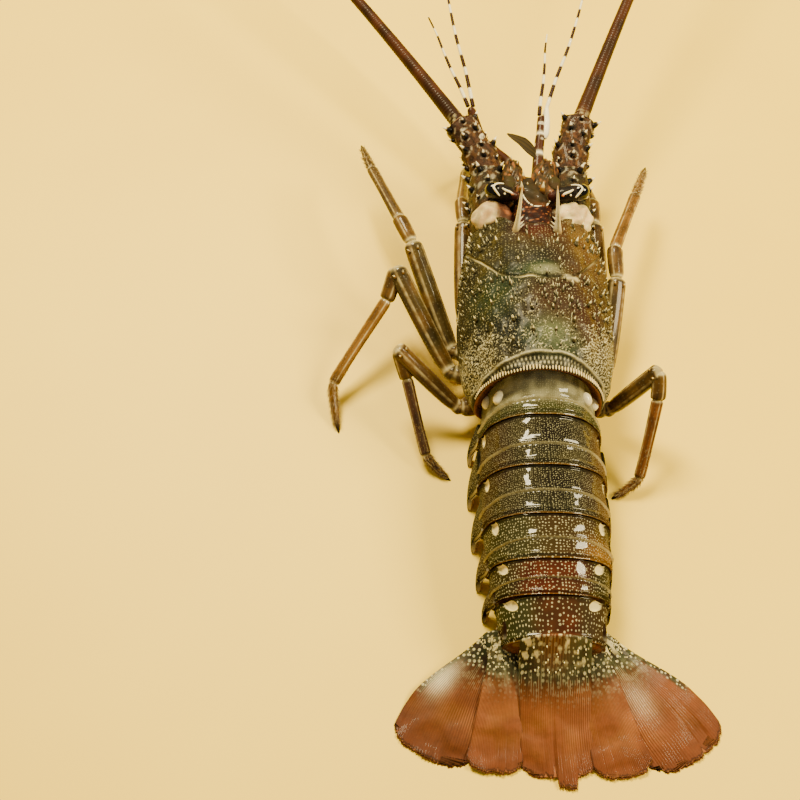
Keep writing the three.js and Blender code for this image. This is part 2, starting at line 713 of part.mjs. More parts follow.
function antennaWrist(sideName, grow = 0) {
  const { wrist, end } = antennaJoints(sideName);
  return antennaSegment([wrist, end], WRIST_RINGS, WRIST_SPINES, SIDES[sideName], grow);
}

const LASH_ROOT = 2.9;
const LASH_TIP = 0.45;
const LASH_RISE_ROOT = 14;
const LASH_RISE_TIP = 2;
const LASH_SWEEP = 12;
const LASH_STEPS = 22;
const LASH_PART = 10;

// The lash leaves its segment along its bearing, and then bows down and outward.
function lashPoints(sideName) {
  const side = SIDES[sideName];
  const { end } = antennaJoints(sideName);
  const points = [end.clone()];
  const step = LASH_LENGTH / LASH_STEPS;
  for (let index = 0; index < LASH_STEPS; index += 1) {
    const share = index / (LASH_STEPS - 1);
    const bearing = ANTENNA[sideName].lash + LASH_SWEEP * share * share;
    const rise = THREE.MathUtils.lerp(LASH_RISE_ROOT, LASH_RISE_TIP, share);
    points.push(points[index].clone().addScaledVector(heading(side, bearing, rise), step));
  }
  return points;
}

function lash(sideName, first, last) {
  const points = lashPoints(sideName).slice(first, last + 1);
  const way = points[1].clone().sub(points[0]).normalize();
  points[0].addScaledVector(way, GAP);
  const rings = points.map((point, index) => {
    const share = (first + index) / LASH_STEPS;
    const radius = THREE.MathUtils.lerp(LASH_ROOT, LASH_TIP, share ** 0.75);
    return [index, radius, radius];
  });
  return limb(points, rings, { sides: 7 });
}

// Antennules: a slim stem and two banded lashes on each side.

const ANTENNULE = {
  left: {
    stem: [[3, 83, 24], [5.5, 97, 23], [15.5, 106, 26], [20.6, 117, 32]],
    outer: { bearing: 22, rise: 17, length: 42 },
    inner: { bearing: 11, rise: 16, length: 78 },
  },
  right: {
    stem: [[3.3, 83, 27], [4, 95.5, 30], [4.8, 103, 32.5], [5.6, 110.5, 34]],
    outer: { bearing: 17, rise: 13, length: 80 },
    inner: { bearing: 6, rise: 16, length: 36 },
  },
};
const STEM_RINGS = [[0, 2.4, 2.2], [1, 2, 1.9], [1.15, 1.7, 1.7], [2, 1.6, 1.6], [3, 1.5, 1.3]];
const ANTENNULE_SPLIT = 0.95;
const ANTENNULE_ROOT = 0.75;
const ANTENNULE_TIP = 0.28;
const ANTENNULE_STEP = 6;

// A thin flap grows from the right stem and curls across to the left.
const FLAP_POINTS = [[3.8, 93.5, 29.6], [1.2, 94.6, 32.6], [-2.5, 96.4, 35.4], [-7.8, 99.6, 36]];
const FLAP_RINGS = [[0, 1, 0.6], [0.7, 1.5, 0.3], [1.5, 1.8, 0.3], [2.4, 1.3, 0.3], [3, 0.4, 0.25]];

function antennuleStem(sideName) {
  const points = ANTENNULE[sideName].stem.map(([x, y, z]) => vector(SIDES[sideName] * x, y, z));
  const stem = limb(points, STEM_RINGS);
  if (sideName === "left") {
    return stem;
  }
  return fuse([stem, limb(FLAP_POINTS.map((point) => vector(...point)), FLAP_RINGS, { sides: 6 })]);
}

function antennuleLash(sideName, branch) {
  const side = SIDES[sideName];
  const [x, y, z] = ANTENNULE[sideName].stem[3];
  const { bearing, rise, length } = ANTENNULE[sideName][branch];
  const spread = branch === "outer" ? ANTENNULE_SPLIT : -ANTENNULE_SPLIT;
  const start = vector(side * (x + spread), y + GAP + 0.6, z + 0.2);
  const bends = 5;
  const points = [start];
  for (let index = 0; index < bends; index += 1) {
    const wave = 3 * Math.sin(index * 1.7);
    const way = heading(side, bearing + wave, rise - index);
    points.push(points[index].clone().addScaledVector(way, length / bends));
  }
  const rings = [];
  const count = Math.round(length / ANTENNULE_STEP);
  for (let ring = 0; ring <= count; ring += 1) {
    const share = ring / count;
    const radius = THREE.MathUtils.lerp(ANTENNULE_ROOT, ANTENNULE_TIP, share);
    rings.push([share * bends, radius, radius]);
  }
  return limb(points, rings, { sides: 5 });
}

// Mouth legs, folded forward under the head

const MOUTH_LEG_JOINTS = [[6.5, 40, 8.3], [7.2, 57, 8], [6.2, 70, 7.5], [4, 80, 8.5]];
const MOUTH_LEG_RINGS = [
  [0, 2.8, 2.6], [0.9, 2.9, 2.6], [1.1, 2.6, 2.4], [1.9, 2.5, 2.2], [2.2, 2.2, 2], [3, 0.8, 0.8],
];

function maxilliped(side) {
  const points = MOUTH_LEG_JOINTS.map(([x, y, z]) => vector(side * x, y, z));
  return limb(points, MOUTH_LEG_RINGS);
}

// Legs: the upper node holds coxa, ischium and merus, the lower one carpus, propodus and dactyl.
// Stretches run from the hip: coxa, merus, carpus, propodus and dactyl, each
// [bearing outward from straight ahead, rise, length].

const HIP = { x: 14.5, z: 8.5 };
const LEGS = [
  {
    hip: 34,
    left: [[100, 25, 10], [0, 12, 38], [2, 0, 11], [-5, -22, 25], [-8, -46, 16]],
    right: [[100, 32, 11], [0, 9, 38], [0, 0, 11], [-6, -22, 25], [-8, -46, 16]],
  },
  {
    hip: 23.5,
    left: [[100, 7, 13.5], [23, 25, 40], [24, 5, 11.5], [22, -4, 28], [16, -13, 17]],
    right: [[98, -8, 8.5], [-2, -6, 34], [-25, -2, 12], [-15, -3, 28], [-20, -6, 15]],
  },
  {
    hip: 12.5,
    left: [[92, 7, 14], [31, 24, 40], [161, -34, 11.5], [146, -23, 34], [188, -24, 17.5]],
    right: [[91, 6, 10], [9, 21, 34], [0, 14, 12], [20, -5, 30], [19, -9, 18]],
  },
  {
    hip: 0.5,
    left: [[103, 8, 12], [61, 36, 28.5], [208, -48, 11], [198, -33, 26], [230, -26, 12]],
    right: [[105, 8, 11], [86, 59, 24.5], [180, -47, 9.5], [194, -45, 26.5], [240, -30, 11.5]],
  },
  {
    hip: -11,
    left: [[170, -12, 6], [184, -3, 27], [180, -6, 8], [184, -6, 18], [186, -6, 9]],
    right: [[170, -12, 6], [184, -3, 27], [180, -6, 8], [184, -6, 18], [186, -6, 9]],
  },
];
const LEG_THICKNESS = [0.95, 1, 1, 0.9, 0.72];
const LEG_BEND = 0.2;
const KNEE_ROOT = 0.6;
const KNEE_SPINES = [[1.85, -10, 1.5], [1.85, 45, 1.3]];
const UPPER_RINGS = [
  [0, 3.6, 3.4], [0.75, 3.6, 3.2], [1, 2.7, 2.5], [1.2, 2.9, 2.5],
  [1.5, 3.3, 2.7], [1.8, 3.3, 2.6], [1.93, 3, 2.5], [2, 2.3, 2],
];
const LOWER_RINGS = [
  [0, 1.9, 1.8], [0.25, 2.5, 2.2], [0.85, 2.6, 2.3], [1, 2, 1.8], [1.12, 2.1, 1.8], [1.6, 1.9, 1.6],
  [1.95, 1.8, 1.5], [2.05, 1.5, 1.3], [2.3, 1.7, 1.4], [2.8, 0.9, 0.85], [3, 0.35, 0.35],
];

function legJoints(number, sideName) {
  const side = SIDES[sideName];
  const leg = LEGS[number];
  const joints = [vector(side * HIP.x, leg.hip, HIP.z)];
  for (const [bearing, rise, length] of leg[sideName]) {
    joints.push(joints.at(-1).clone().addScaledVector(heading(side, bearing, rise), length));
  }
  return joints;
}

function scaledRings(rings, factor) {
  return rings.map(([place, wide, thick]) => [place, wide * factor, thick * factor]);
}

function legUpper(number, sideName, grow = 0) {
  const points = legJoints(number, sideName).slice(0, 3);
  const rings = scaledRings(UPPER_RINGS, LEG_THICKNESS[number]);
  const body = limb(points, rings, { grow, bend: LEG_BEND });
  if (grow > 0 || number === LEGS.length - 1) {
    return body;
  }
  return fuse([body, ...limbSpines(points, rings, KNEE_SPINES, { side: SIDES[sideName], bend: LEG_BEND })]);
}

function legLower(number, sideName) {
  const joints = legJoints(number, sideName).slice(2);
  const way = joints[1].clone().sub(joints[0]).normalize();
  joints[0].addScaledVector(way, KNEE_ROOT);
  return limb(joints, scaledRings(LOWER_RINGS, LEG_THICKNESS[number]), { bend: LEG_BEND });
}

// The whole animal

addNode("carapace", carapace(), "shell");
addNode("sternum", clearOf(sternum(), [carapaceClearance, somiteVault(0, GAP)]), "underside");
const plate = fuse([antennularPlate(), ...plateSpines()]);
addNode("antennular_plate", clearOf(plate, [carapaceClearance]), "shell");

SOMITES.forEach((_, index) => addNode(`abdomen_somite_${index + 1}`, somite(index), "shell"));

const telsonClearance = fanBlade(TELSON, SIDES.right, GAP);
const lastSomite = [somiteVault(5, GAP), sidePlate(5, SIDES.left, GAP), sidePlate(5, SIDES.right, GAP)];
addNode("telson", clearOf(fanBlade(TELSON, SIDES.right), lastSomite), "fan");

for (const [sideName, side] of Object.entries(SIDES)) {
  const { inner, outer } = BLADES[sideName];
  const innerBlade = clearOf(fanBlade(inner, side), [telsonClearance, ...lastSomite]);
  addNode(`uropod_inner_${sideName}`, innerBlade, "fan");
  const outerBlade = clearOf(fanBlade(outer, side), [fanBlade(inner, side, GAP), ...lastSomite]);
  addNode(`uropod_outer_${sideName}`, outerBlade, "fan");

  const plateClearance = antennularPlate(GAP);
  const stalk = clearOf(eyestalk(side), [eye(side, GAP), plateClearance, carapaceClearance]);
  addNode(`eyestalk_${sideName}`, stalk, "stalk");
  addNode(`eye_${sideName}`, clearOf(eye(side), [carapaceClearance]), "eye");

  const baseNeighbours = [plateClearance, carapaceClearance, eye(side, GAP), eyestalk(side, GAP)];
  addNode(`antenna_base_${sideName}`, clearOf(antennaBase(sideName), baseNeighbours), "antenna");
  const middle = clearOf(antennaMiddle(sideName), [antennaBase(sideName, GAP), plateClearance]);
  addNode(`antenna_middle_${sideName}`, middle, "antenna");
  const wrist = clearOf(antennaWrist(sideName), [antennaMiddle(sideName, GAP)]);
  addNode(`antenna_wrist_${sideName}`, wrist, "antenna");
  const nearLash = clearOf(lash(sideName, 0, LASH_PART), [antennaWrist(sideName, GAP)]);
  addNode(`antenna_lash_near_${sideName}`, nearLash, "lash");
  addNode(`antenna_lash_far_${sideName}`, lash(sideName, LASH_PART, LASH_STEPS), "lash");

  const stemNeighbours = [plateClearance, antennaBase(sideName, GAP), antennaMiddle(sideName, GAP),
    antennaWrist(sideName, GAP)];
  addNode(`antennule_stem_${sideName}`, clearOf(antennuleStem(sideName), stemNeighbours), "band");
  for (const branch of ["outer", "inner"]) {
    addNode(`antennule_${branch}_${sideName}`, antennuleLash(sideName, branch), "band");
  }
  addNode(`maxilliped_${sideName}`, clearOf(maxilliped(side), [carapaceClearance, sternum(GAP)]), "leg");

  LEGS.forEach((_, number) => {
    const legsAhead = LEGS.slice(0, number).map((__, ahead) => legUpper(ahead, sideName, GAP));
    const body = [carapaceClearance, sternum(GAP), somiteVault(0, GAP), somiteVault(1, GAP)];
    const upper = clearOf(legUpper(number, sideName), [...body, ...legsAhead]);
    addNode(`leg_${number + 1}_${sideName}_upper`, upper, "leg");
    const lower = clearOf(legLower(number, sideName), [legUpper(number, sideName, GAP), carapaceClearance]);
    addNode(`leg_${number + 1}_${sideName}_lower`, lower.subtract(BELOW_FLOOR), "leg");
  });
}

// The origin is under the middle of the whole animal, on the floor.
const reach = new THREE.Box3().setFromObject(lobster);
const middleOfAll = reach.getCenter(vector());
lobster.position.set(-middleOfAll.x, -middleOfAll.y, 0);

export default lobster;
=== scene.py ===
"""Scalloped spiny lobster, life size, lying on its belly with its tail fan spread.

Sizes in the code are millimetres in the animal's own frame: +Y runs to the head, +X to its
right, +Z up, and y = 0 lies 10 mm in front of the hind edge of the carapace.
"""

import math
from collections import namedtuple

import bpy
import numpy as np
from bpy.types import Operator, Panel, PropertyGroup
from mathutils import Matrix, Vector
from numpy import cos, sin


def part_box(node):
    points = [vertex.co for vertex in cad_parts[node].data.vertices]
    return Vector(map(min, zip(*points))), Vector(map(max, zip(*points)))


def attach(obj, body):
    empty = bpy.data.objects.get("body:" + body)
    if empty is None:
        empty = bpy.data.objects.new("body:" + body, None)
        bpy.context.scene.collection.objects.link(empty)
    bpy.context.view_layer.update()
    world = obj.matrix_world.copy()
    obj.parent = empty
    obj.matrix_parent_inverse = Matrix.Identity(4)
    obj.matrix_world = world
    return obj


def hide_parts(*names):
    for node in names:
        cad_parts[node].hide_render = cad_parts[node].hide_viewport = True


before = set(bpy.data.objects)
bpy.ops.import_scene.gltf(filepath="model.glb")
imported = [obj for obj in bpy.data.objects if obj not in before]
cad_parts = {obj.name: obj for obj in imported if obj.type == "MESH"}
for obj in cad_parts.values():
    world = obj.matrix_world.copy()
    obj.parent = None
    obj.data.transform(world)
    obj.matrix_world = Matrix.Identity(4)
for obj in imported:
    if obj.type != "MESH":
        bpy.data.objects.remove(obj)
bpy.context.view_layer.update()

bl_info = {
    "name": "Scalloped Spiny Lobster",
    "version": (1, 0, 0),
    "blender": (4, 5, 0),
    "location": "3D View > Sidebar > Lobster",
    "description": "Builds a life-size spiny lobster, its finishes and its stage",
    "category": "Add Mesh",
}

# Where the animal's own frame stands in the scene

MM = 0.001
STERNUM_BACK, STERNUM_FRONT = -13, 44
STERNUM_LOW, STERNUM_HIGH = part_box("sternum")
ORIGIN = np.array([
    (STERNUM_LOW.x + STERNUM_HIGH.x) / 2 / MM,
    STERNUM_LOW.y / MM - STERNUM_BACK,
    0,
])
SIDES = {"left": -1, "right": 1}
UP = np.array([0.0, 0.0, 1.0])

# Main sizes of the body

CARAPACE_BACK, CARAPACE_FRONT = -10, 50
CARAPACE_HALF_WIDTH, CARAPACE_TOP, CARAPACE_FOOT, CARAPACE_WAIST = 25.8, 47.5, 12, 22
CERVICAL_GROOVE = 24.5
ABDOMEN_FRONT, ABDOMEN_BACK = -4.3, -88
ABDOMEN_HALF_WIDTH, ABDOMEN_TOP, ABDOMEN_FOOT, ABDOMEN_WAIST = 20.3, 37, 9.5, 12
LASH_LENGTH, LASH_ROOT, LASH_TIP = 238, 2.9, 0.45


def srgb(*parts):
    """A colour in linear light from its parts, each from 0 to 255."""
    share = np.array(parts) / 255
    return tuple(np.where(share > 0.04045, ((share + 0.055) / 1.055) ** 2.4, share / 12.92))


def colour_choice(name, description, *parts):
    """A colour that a user can change."""
    return bpy.props.FloatVectorProperty(
        name=name, description=description, default=srgb(*parts), subtype="COLOR", min=0, max=1)


def length_choice(name, description, millimetres):
    """A length that a user can change."""
    return bpy.props.FloatProperty(
        name=name, description=description, default=millimetres * MM, min=0, unit="LENGTH")


class LobsterSizes(PropertyGroup):
    """Sizes of the animal's surface details."""

    tubercles: bpy.props.IntProperty(
        name="Tubercles", description="Small knobs on the back of the carapace", default=760, min=0)
    tubercle_height: length_choice("Tubercle height", "Height of the largest small knobs", 0.95)
    groove_depth: length_choice("Groove depth", "Depth of the cervical groove", 0.9)
    ray_height: length_choice("Ray height", "Height of the fine rays of the tail fan", 0.13)
    ring_spacing: length_choice("Ring spacing", "Distance between the rings of the lashes", 1.1)
    seta_length: length_choice("Seta length", "Length of the bristles on the last leg joints", 1.9)
    fringe_length: length_choice("Fringe length", "Length of the hairs on the tail fan's edge", 0.6)


class LobsterColours(PropertyGroup):
    """Colours of the animal."""

    dark: colour_choice("Dark shell", "Darkest parts of the back", 22, 23, 14)
    olive: colour_choice("Olive shell", "Ground of the back", 54, 47, 21)
    green: colour_choice("Green shell", "Green clouds on the back", 36, 58, 24)
    brown: colour_choice("Brown shell", "Brown clouds on the back", 66, 41, 19)
    red: colour_choice("Red shell", "Red-brown bands of the abdomen", 62, 22, 9)
    cream: colour_choice("Cream", "Ovals and tips of spines", 228, 212, 152)
    speck: colour_choice("Speck", "Fine dots of the shell", 190, 182, 142)
    pink: colour_choice("Pink", "Edges and soft skin round the eyes", 184, 112, 66)
    black: colour_choice("Black", "Rings round the spines of the antennae", 12, 8, 6)
    white: colour_choice("White", "White lines and bands", 240, 228, 190)
    underside: colour_choice("Underside", "Belly, sternum and mouth", 142, 110, 54)
    purple: colour_choice("Purple", "Ground of the stout antenna segments", 66, 44, 32)
    lash: colour_choice("Lash", "Long lashes", 46, 26, 10)
    gold: colour_choice("Gold", "Golden parts of the legs", 124, 84, 28)
    leg_olive: colour_choice("Leg olive", "Olive parts of the legs", 68, 52, 22)
    rust: colour_choice("Rust", "Soft web of the tail fan", 114, 61, 30)
    claw: colour_choice("Claw", "Claws at the ends of the legs", 28, 17, 9)


class LobsterStage(PropertyGroup):
    """Floor, lamps and lens."""

    floor: colour_choice("Floor", "Colour of the floor", 254, 218, 52)
    key_power: bpy.props.FloatProperty(
        name="Key power", description="Power of the lamp ahead of the animal", default=21, unit="POWER")
    side_power: bpy.props.FloatProperty(
        name="Side power", description="Power of the lamp on the right", default=16, unit="POWER")
    sky: bpy.props.FloatProperty(
        name="Sky", description="Strength of the light from all round", default=0.3, min=0)
    lens: bpy.props.FloatProperty(
        name="Lens", description="Focal length of the camera", default=51.75, min=1, unit="CAMERA")


def size(name):
    """A size in millimetres that a user can change."""
    return getattr(bpy.context.scene.lobster_sizes, name) / MM


def colour(name):
    """A colour that a user can change."""
    return np.array(getattr(bpy.context.scene.lobster_colours, name))


# Small mathematics

def mix(low, high, share):
    """A value between two others."""
    return low + (high - low) * share


def fade(low, high, value):
    """0 below low, 1 above high, and a soft step between them."""
    share = np.clip((value - low) / (high - low), 0, 1)
    return share * share * (3 - 2 * share)


def bump(place, centre, width):
    """A soft bump of height 1 round a centre."""
    return np.exp(-(((place - centre) / width) ** 2))


def signed_power(value, power):
    """A power that keeps the sign."""
    return np.sign(value) * abs(value) ** power


def profile(stations):
    """A smooth curve of value against place through a few stations (place, value)."""
    places, values = np.array(stations, float).T
    last = len(places) - 1
    before = np.maximum(np.arange(last + 1) - 1, 0)
    after = np.minimum(np.arange(last + 1) + 1, last)
    slopes = (values[after] - values[before]) / (places[after] - places[before])

    def at(place):
        index = np.clip(np.searchsorted(places, place) - 1, 0, last - 1)
        span = places[index + 1] - places[index]
        t = np.clip((place - places[index]) / span, 0, 1)
        ease = span * t * (1 - t)
        rise = mix(values[index], values[index + 1], t * t * (3 - 2 * t))
        return rise + ease * ((1 - t) * slopes[index] - t * slopes[index + 1])

    return at


def column(rings, index):
    """The smooth curve of one measure of a limb's rings."""
    return profile([(ring[0], ring[index]) for ring in rings])


def heading(side, bearing, rise):
    """A unit direction from a bearing, outward from straight ahead, and a rise, in degrees."""
    bearing, rise = math.radians(bearing), math.radians(rise)
    level = math.cos(rise)
    return np.array([side * math.sin(bearing) * level, math.cos(bearing) * level, math.sin(rise)])


def mirrored(points, side):
    """Points given for the right side, on the side wanted."""
    return np.asarray(points, float) * (side, 1, 1)


def unit(ways):
    """Vectors of length 1 in the same directions."""
    ways = np.asarray(ways, float)
    return ways / np.maximum(np.linalg.norm(ways, axis=-1, keepdims=True), 1e-9)


def turns(number, start=-math.pi):
    """Angles all the way round."""
    return np.linspace(start, start + 2 * math.pi, number, endpoint=False)


def off_the_top(around):
    """How far an angle lies from the top, in degrees, on either side."""
    return abs(np.degrees((around + math.pi) % (2 * math.pi) - math.pi))


def clouds(spots, grain, seed):
    """A smooth random field from 0 to 1 over points, with features of about one size."""
    waves = 10
    rng = np.random.default_rng(seed)
    ways = unit(rng.normal(size=(waves, 3))) * (2 * math.pi / grain)
    field = sin(spots @ ways.T + rng.uniform(0, 2 * math.pi, waves)).sum(-1)
    return 0.5 + 0.5 * np.tanh(field / math.sqrt(waves / 2))


def vectors(*parts):
    """Points or marks from their three parts, which are broadcast."""
    return np.stack(np.broadcast_arrays(*parts), -1)


def near(spots, centre, radii, edge):
    """1 inside an ellipsoid and 0 outside it, with a soft edge as a share of its size."""
    distance = np.linalg.norm((spots - np.array(centre)) / np.array(radii), axis=-1)
    return np.clip((1 + edge / 2 - distance) / edge, 0, 1)


def normals(grid):
    """Outward directions of a grid of points, rows along it and columns round it."""
    round_it = np.roll(grid, -1, axis=1) - np.roll(grid, 1, axis=1)
    return unit(np.cross(round_it, np.gradient(grid, axis=0)))


class Path:
    """A smooth path through points, with its direction, its right and its upper side."""

    def __init__(self, points, bend=0.35):
        points = np.array(points, float)
        self.points = np.vstack([2 * points[0] - points[1], points, 2 * points[-1] - points[-2]])
        self.bend = bend
        self.spans = len(points) - 1

    def at(self, place):
        """Point, direction, right and upper side at places counted in the path's points."""
        place = np.clip(np.atleast_1d(np.asarray(place, float)), 0, self.spans)
        index = np.minimum(place.astype(int), self.spans - 1)
        t = (place - index)[:, None]
        before, start, end, after = (self.points[index + step] for step in range(4))
        leave, arrive = self.bend * (end - before), self.bend * (after - start)
        point = (start * (2 * t**3 - 3 * t**2 + 1) + leave * (t**3 - 2 * t**2 + t)
                 + end * (3 * t**2 - 2 * t**3) + arrive * (t**3 - t**2))
        way = unit((start - end) * (6 * t**2 - 6 * t) + leave * (3 * t**2 - 4 * t + 1)
                   + arrive * (3 * t**2 - 2 * t))
        across = unit(np.cross(way, UP))
        return point, way, across, np.cross(across, way)


def on_limb(path, rings, place, turn):
    """Points on a limb's skin, with their outward and their lengthwise directions."""
    point, way, across, lift = path.at(place)
    turn = np.reshape(turn, (-1, 1))
    wide, thick = (np.reshape(column(rings, index)(place), (-1, 1)) for index in (1, 2))
    feet = point + across * sin(turn) * wide + lift * cos(turn) * thick
    return feet, across * sin(turn) + lift * cos(turn), way


# Paint and shapes

def in_scene(name, data):
    """A new object in the scene."""
    made = bpy.data.objects.new(name, data)
    bpy.context.scene.collection.objects.link(made)
    return made


class Paint:
    """Colours laid over one another on a grid of points."""

    def __init__(self, spots, ground):
        self.tint = np.broadcast_to(colour(ground), spots.shape).astype(float).copy()

    def over(self, name, mask):
        """Lays one of the user's colours over the paint where the mask is 1."""
        mask = np.clip(np.broadcast_to(mask, self.tint.shape[:-1]), 0, 1)[..., None]
        self.tint += (colour(name) - self.tint) * mask
        return self

    def shade(self, factor):
        """Makes the paint lighter or darker."""
        self.tint *= np.broadcast_to(factor, self.tint.shape[:-1])[..., None]
        return self


class Shape:
    """Surfaces in millimetres that become one piece. Each point has a tint, three marks (dots,
    speckle and dullness) and its lie, the place on the surface that patterns are drawn on."""

    def __init__(self):
        self.points = ([], [], [], [])
        self.quads, self.triangles = [], []
        self.count = 0

    def _points(self, *columns):
        """Adds points with their tints, marks and lies, and gives the number of the first."""
        for kept, values in zip(self.points, columns):
            kept.append(np.broadcast_to(values, columns[0].shape))
        self.count += len(columns[0])
        return self.count - len(columns[0])

    def grid(self, spots, tint, marks=(0, 0, 0), lie=None):
        """Rows of points, closed round each row, with a cap at each end."""
        rows, columns = spots.shape[:2]
        lie = spots if lie is None else lie
        parts = [np.broadcast_to(part, spots.shape) for part in (spots, tint, marks, lie)]
        first = self._points(*(part.reshape(-1, 3) for part in parts))
        index = first + np.arange(rows * columns).reshape(rows, columns)
        ahead = np.roll(index, -1, axis=1)
        quads = np.stack([index[:-1], ahead[:-1], ahead[1:], index[1:]], -1)
        self.quads.append(quads.reshape(-1, 4))
        for end, ring in ((0, (ahead[0], index[0])), (-1, (index[-1], ahead[-1]))):
            middle = self._points(*(part[end].mean(0)[None] for part in parts))
            self.triangles.append(np.stack([*ring, np.full(columns, middle)], -1))

    def cones(self, feet, ways, lengths, roots, stops, sides=7, sunk=0.3):
        """Slim cones. Stops are (share of the length, share of the root's radius, colour or its name)."""
        feet, ways = np.atleast_2d(feet), unit(np.atleast_2d(ways))
        number = len(feet)
        lengths, roots = (np.broadcast_to(part, number)[:, None, None, None] for part in (lengths, roots))
        guide = np.where(abs(ways[:, 2:]) > 0.9, [[0.0, 1, 0]], [[0.0, 0, 1]])
        right = unit(np.cross(ways, guide))[:, None, None]
        upper = np.cross(right[:, 0, 0], ways)[:, None, None]
        share = np.array([-sunk] + [stop[0] for stop in stops])[None, :, None, None]
        wide = np.array([1] + [stop[1] for stop in stops])[None, :, None, None]
        turn = turns(sides, 0)[None, None, :, None]
        spots = (feet[:, None, None] + ways[:, None, None] * share * lengths
                 + (right * sin(turn) - upper * cos(turn)) * wide * roots)
        rows = spots.shape[1]
        tints = [colour(tint) if isinstance(tint, str) else tint for _, _, tint in (stops[0], *stops)]
        tints = np.broadcast_to(np.array(tints)[None, :, None], spots.shape)
        flat = spots.reshape(-1, 3)
        first = self._points(flat, tints.reshape(-1, 3), (0, 0, 0), flat)
        index = first + np.arange(number * rows * sides).reshape(number, rows, sides)
        ahead = np.roll(index, -1, axis=2)
        quads = np.stack([index[:, :-1], ahead[:, :-1], ahead[:, 1:], index[:, 1:]], -1)
        self.quads.append(quads.reshape(-1, 4))
        for end, ring in ((-1, (index[:, -1], ahead[:, -1])), (0, (ahead[:, 0], index[:, 0]))):
            middle = spots[:, end].mean(1)
            middles = self._points(middle, tints[:, end].mean(1), (0, 0, 0), middle) + np.arange(number)
            self.triangles.append(np.stack([*ring, np.repeat(middles[:, None], sides, 1)], -1).reshape(-1, 3))

    def tube(self, path, rings, paint, sides=20, steps=48, swell=None, spacing=1.0):
        """A limb along a path. Rings are (place, half width, half thickness). The rule
        paint(place, around, spots) gives its tint and marks, and swell its relief."""
        places, wides, thicks = np.array(rings, float).T
        place = np.linspace(places[0], places[-1], steps + 1)
        around = turns(sides)
        point, way, across, lift = path.at(place)
        wide, thick = (column(rings, index)(place)[:, None] for index in (1, 2))
        relief = swell(place[:, None], around[None]) if swell else 0
        spots = (point[:, None] + across[:, None] * ((wide + relief) * sin(around))[..., None]
                 + lift[:, None] * ((thick + relief) * cos(around))[..., None])
        for end, dome in ((0, -0.3), (-1, 0.3)):
            bulge = way[end] * dome * min(wide[end, 0], thick[end, 0])
            ring = point[end] + (spots[end] - point[end]) * 0.55 + bulge
            spots = np.concatenate([ring[None], spots] if end == 0 else [spots, ring[None]])
        place = np.concatenate([place[:1], place, place[-1:]])
        steps_mm = np.linalg.norm(np.diff(spots.mean(1), axis=0), axis=1)
        run = np.concatenate([[0], np.cumsum(steps_mm)])[:, None]
        girth = around[None] * max(wides.max(), thicks.max())
        lie = vectors(girth / spacing, run / spacing, 0.0)
        tint, marks = paint(place[:, None], around[None], spots)
        self.grid(spots, tint, marks, lie)

    def piece(self, name, finish, slot, *nodes):
        """Makes the piece, which stands for the named nodes."""
        mesh = bpy.data.meshes.new(name)
        spots, tints, marks, lies = (np.concatenate(kept) for kept in self.points)
        spots = (spots + ORIGIN) * MM
        spots[:, 2] = np.maximum(spots[:, 2], 0)
        quads, triangles = np.concatenate(self.quads), np.concatenate(self.triangles)
        mesh.vertices.add(len(spots))
        mesh.vertices.foreach_set("co", spots.astype(np.float32).ravel())
        corners = np.concatenate([quads.ravel(), triangles.ravel()])
        starts = np.concatenate([np.arange(0, quads.size, 4), np.arange(quads.size, len(corners), 3)])
        mesh.loops.add(len(corners))
        mesh.loops.foreach_set("vertex_index", corners.astype(np.int32))
        mesh.polygons.add(len(starts))
        mesh.polygons.foreach_set("loop_start", starts.astype(np.int32))
        mesh.update(calc_edges=True)
        tints = np.concatenate([np.clip(tints, 0, 1), np.ones((len(tints), 1))], 1)
        for label, kind, field, values in (("tint", "FLOAT_COLOR", "color", tints),
                                           ("marks", "FLOAT_VECTOR", "vector", marks),
                                           ("lie", "FLOAT_VECTOR", "vector", lies)):
            attribute = mesh.attributes.new(label, kind, "POINT")
            attribute.data.foreach_set(field, values.astype(np.float32).ravel())
        mesh.validate()
        mesh.shade_smooth()
        mesh.materials.append(finish)
        made = in_scene(name, mesh)
        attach(made, "root")
        if nodes:
            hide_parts(*nodes)


# Finishes

class Value:
    """A number in a finish. Arithmetic on it adds Math nodes."""

    def __init__(self, finish, socket):
        self.finish, self.socket = finish, socket

    def step(self, operation, first, second, clamp=False):
        """One Math node."""
        node = self.finish.node("ShaderNodeMath", {"operation": operation, "use_clamp": clamp},
                                {0: first, 1: second})
        return Value(self.finish, node.outputs[0])

    def __add__(self, other):
        return self.step("ADD", self, other)

    __radd__ = __add__

    def __mul__(self, other):
        return self.step("MULTIPLY", self, other)

    __rmul__ = __mul__

    def __sub__(self, other):
        return self.step("SUBTRACT", self, other)

    def __rsub__(self, other):
        return self.step("SUBTRACT", other, self)

    def clamped(self):
        """The number held between 0 and 1."""
        return self.step("ADD", self, 0, clamp=True)


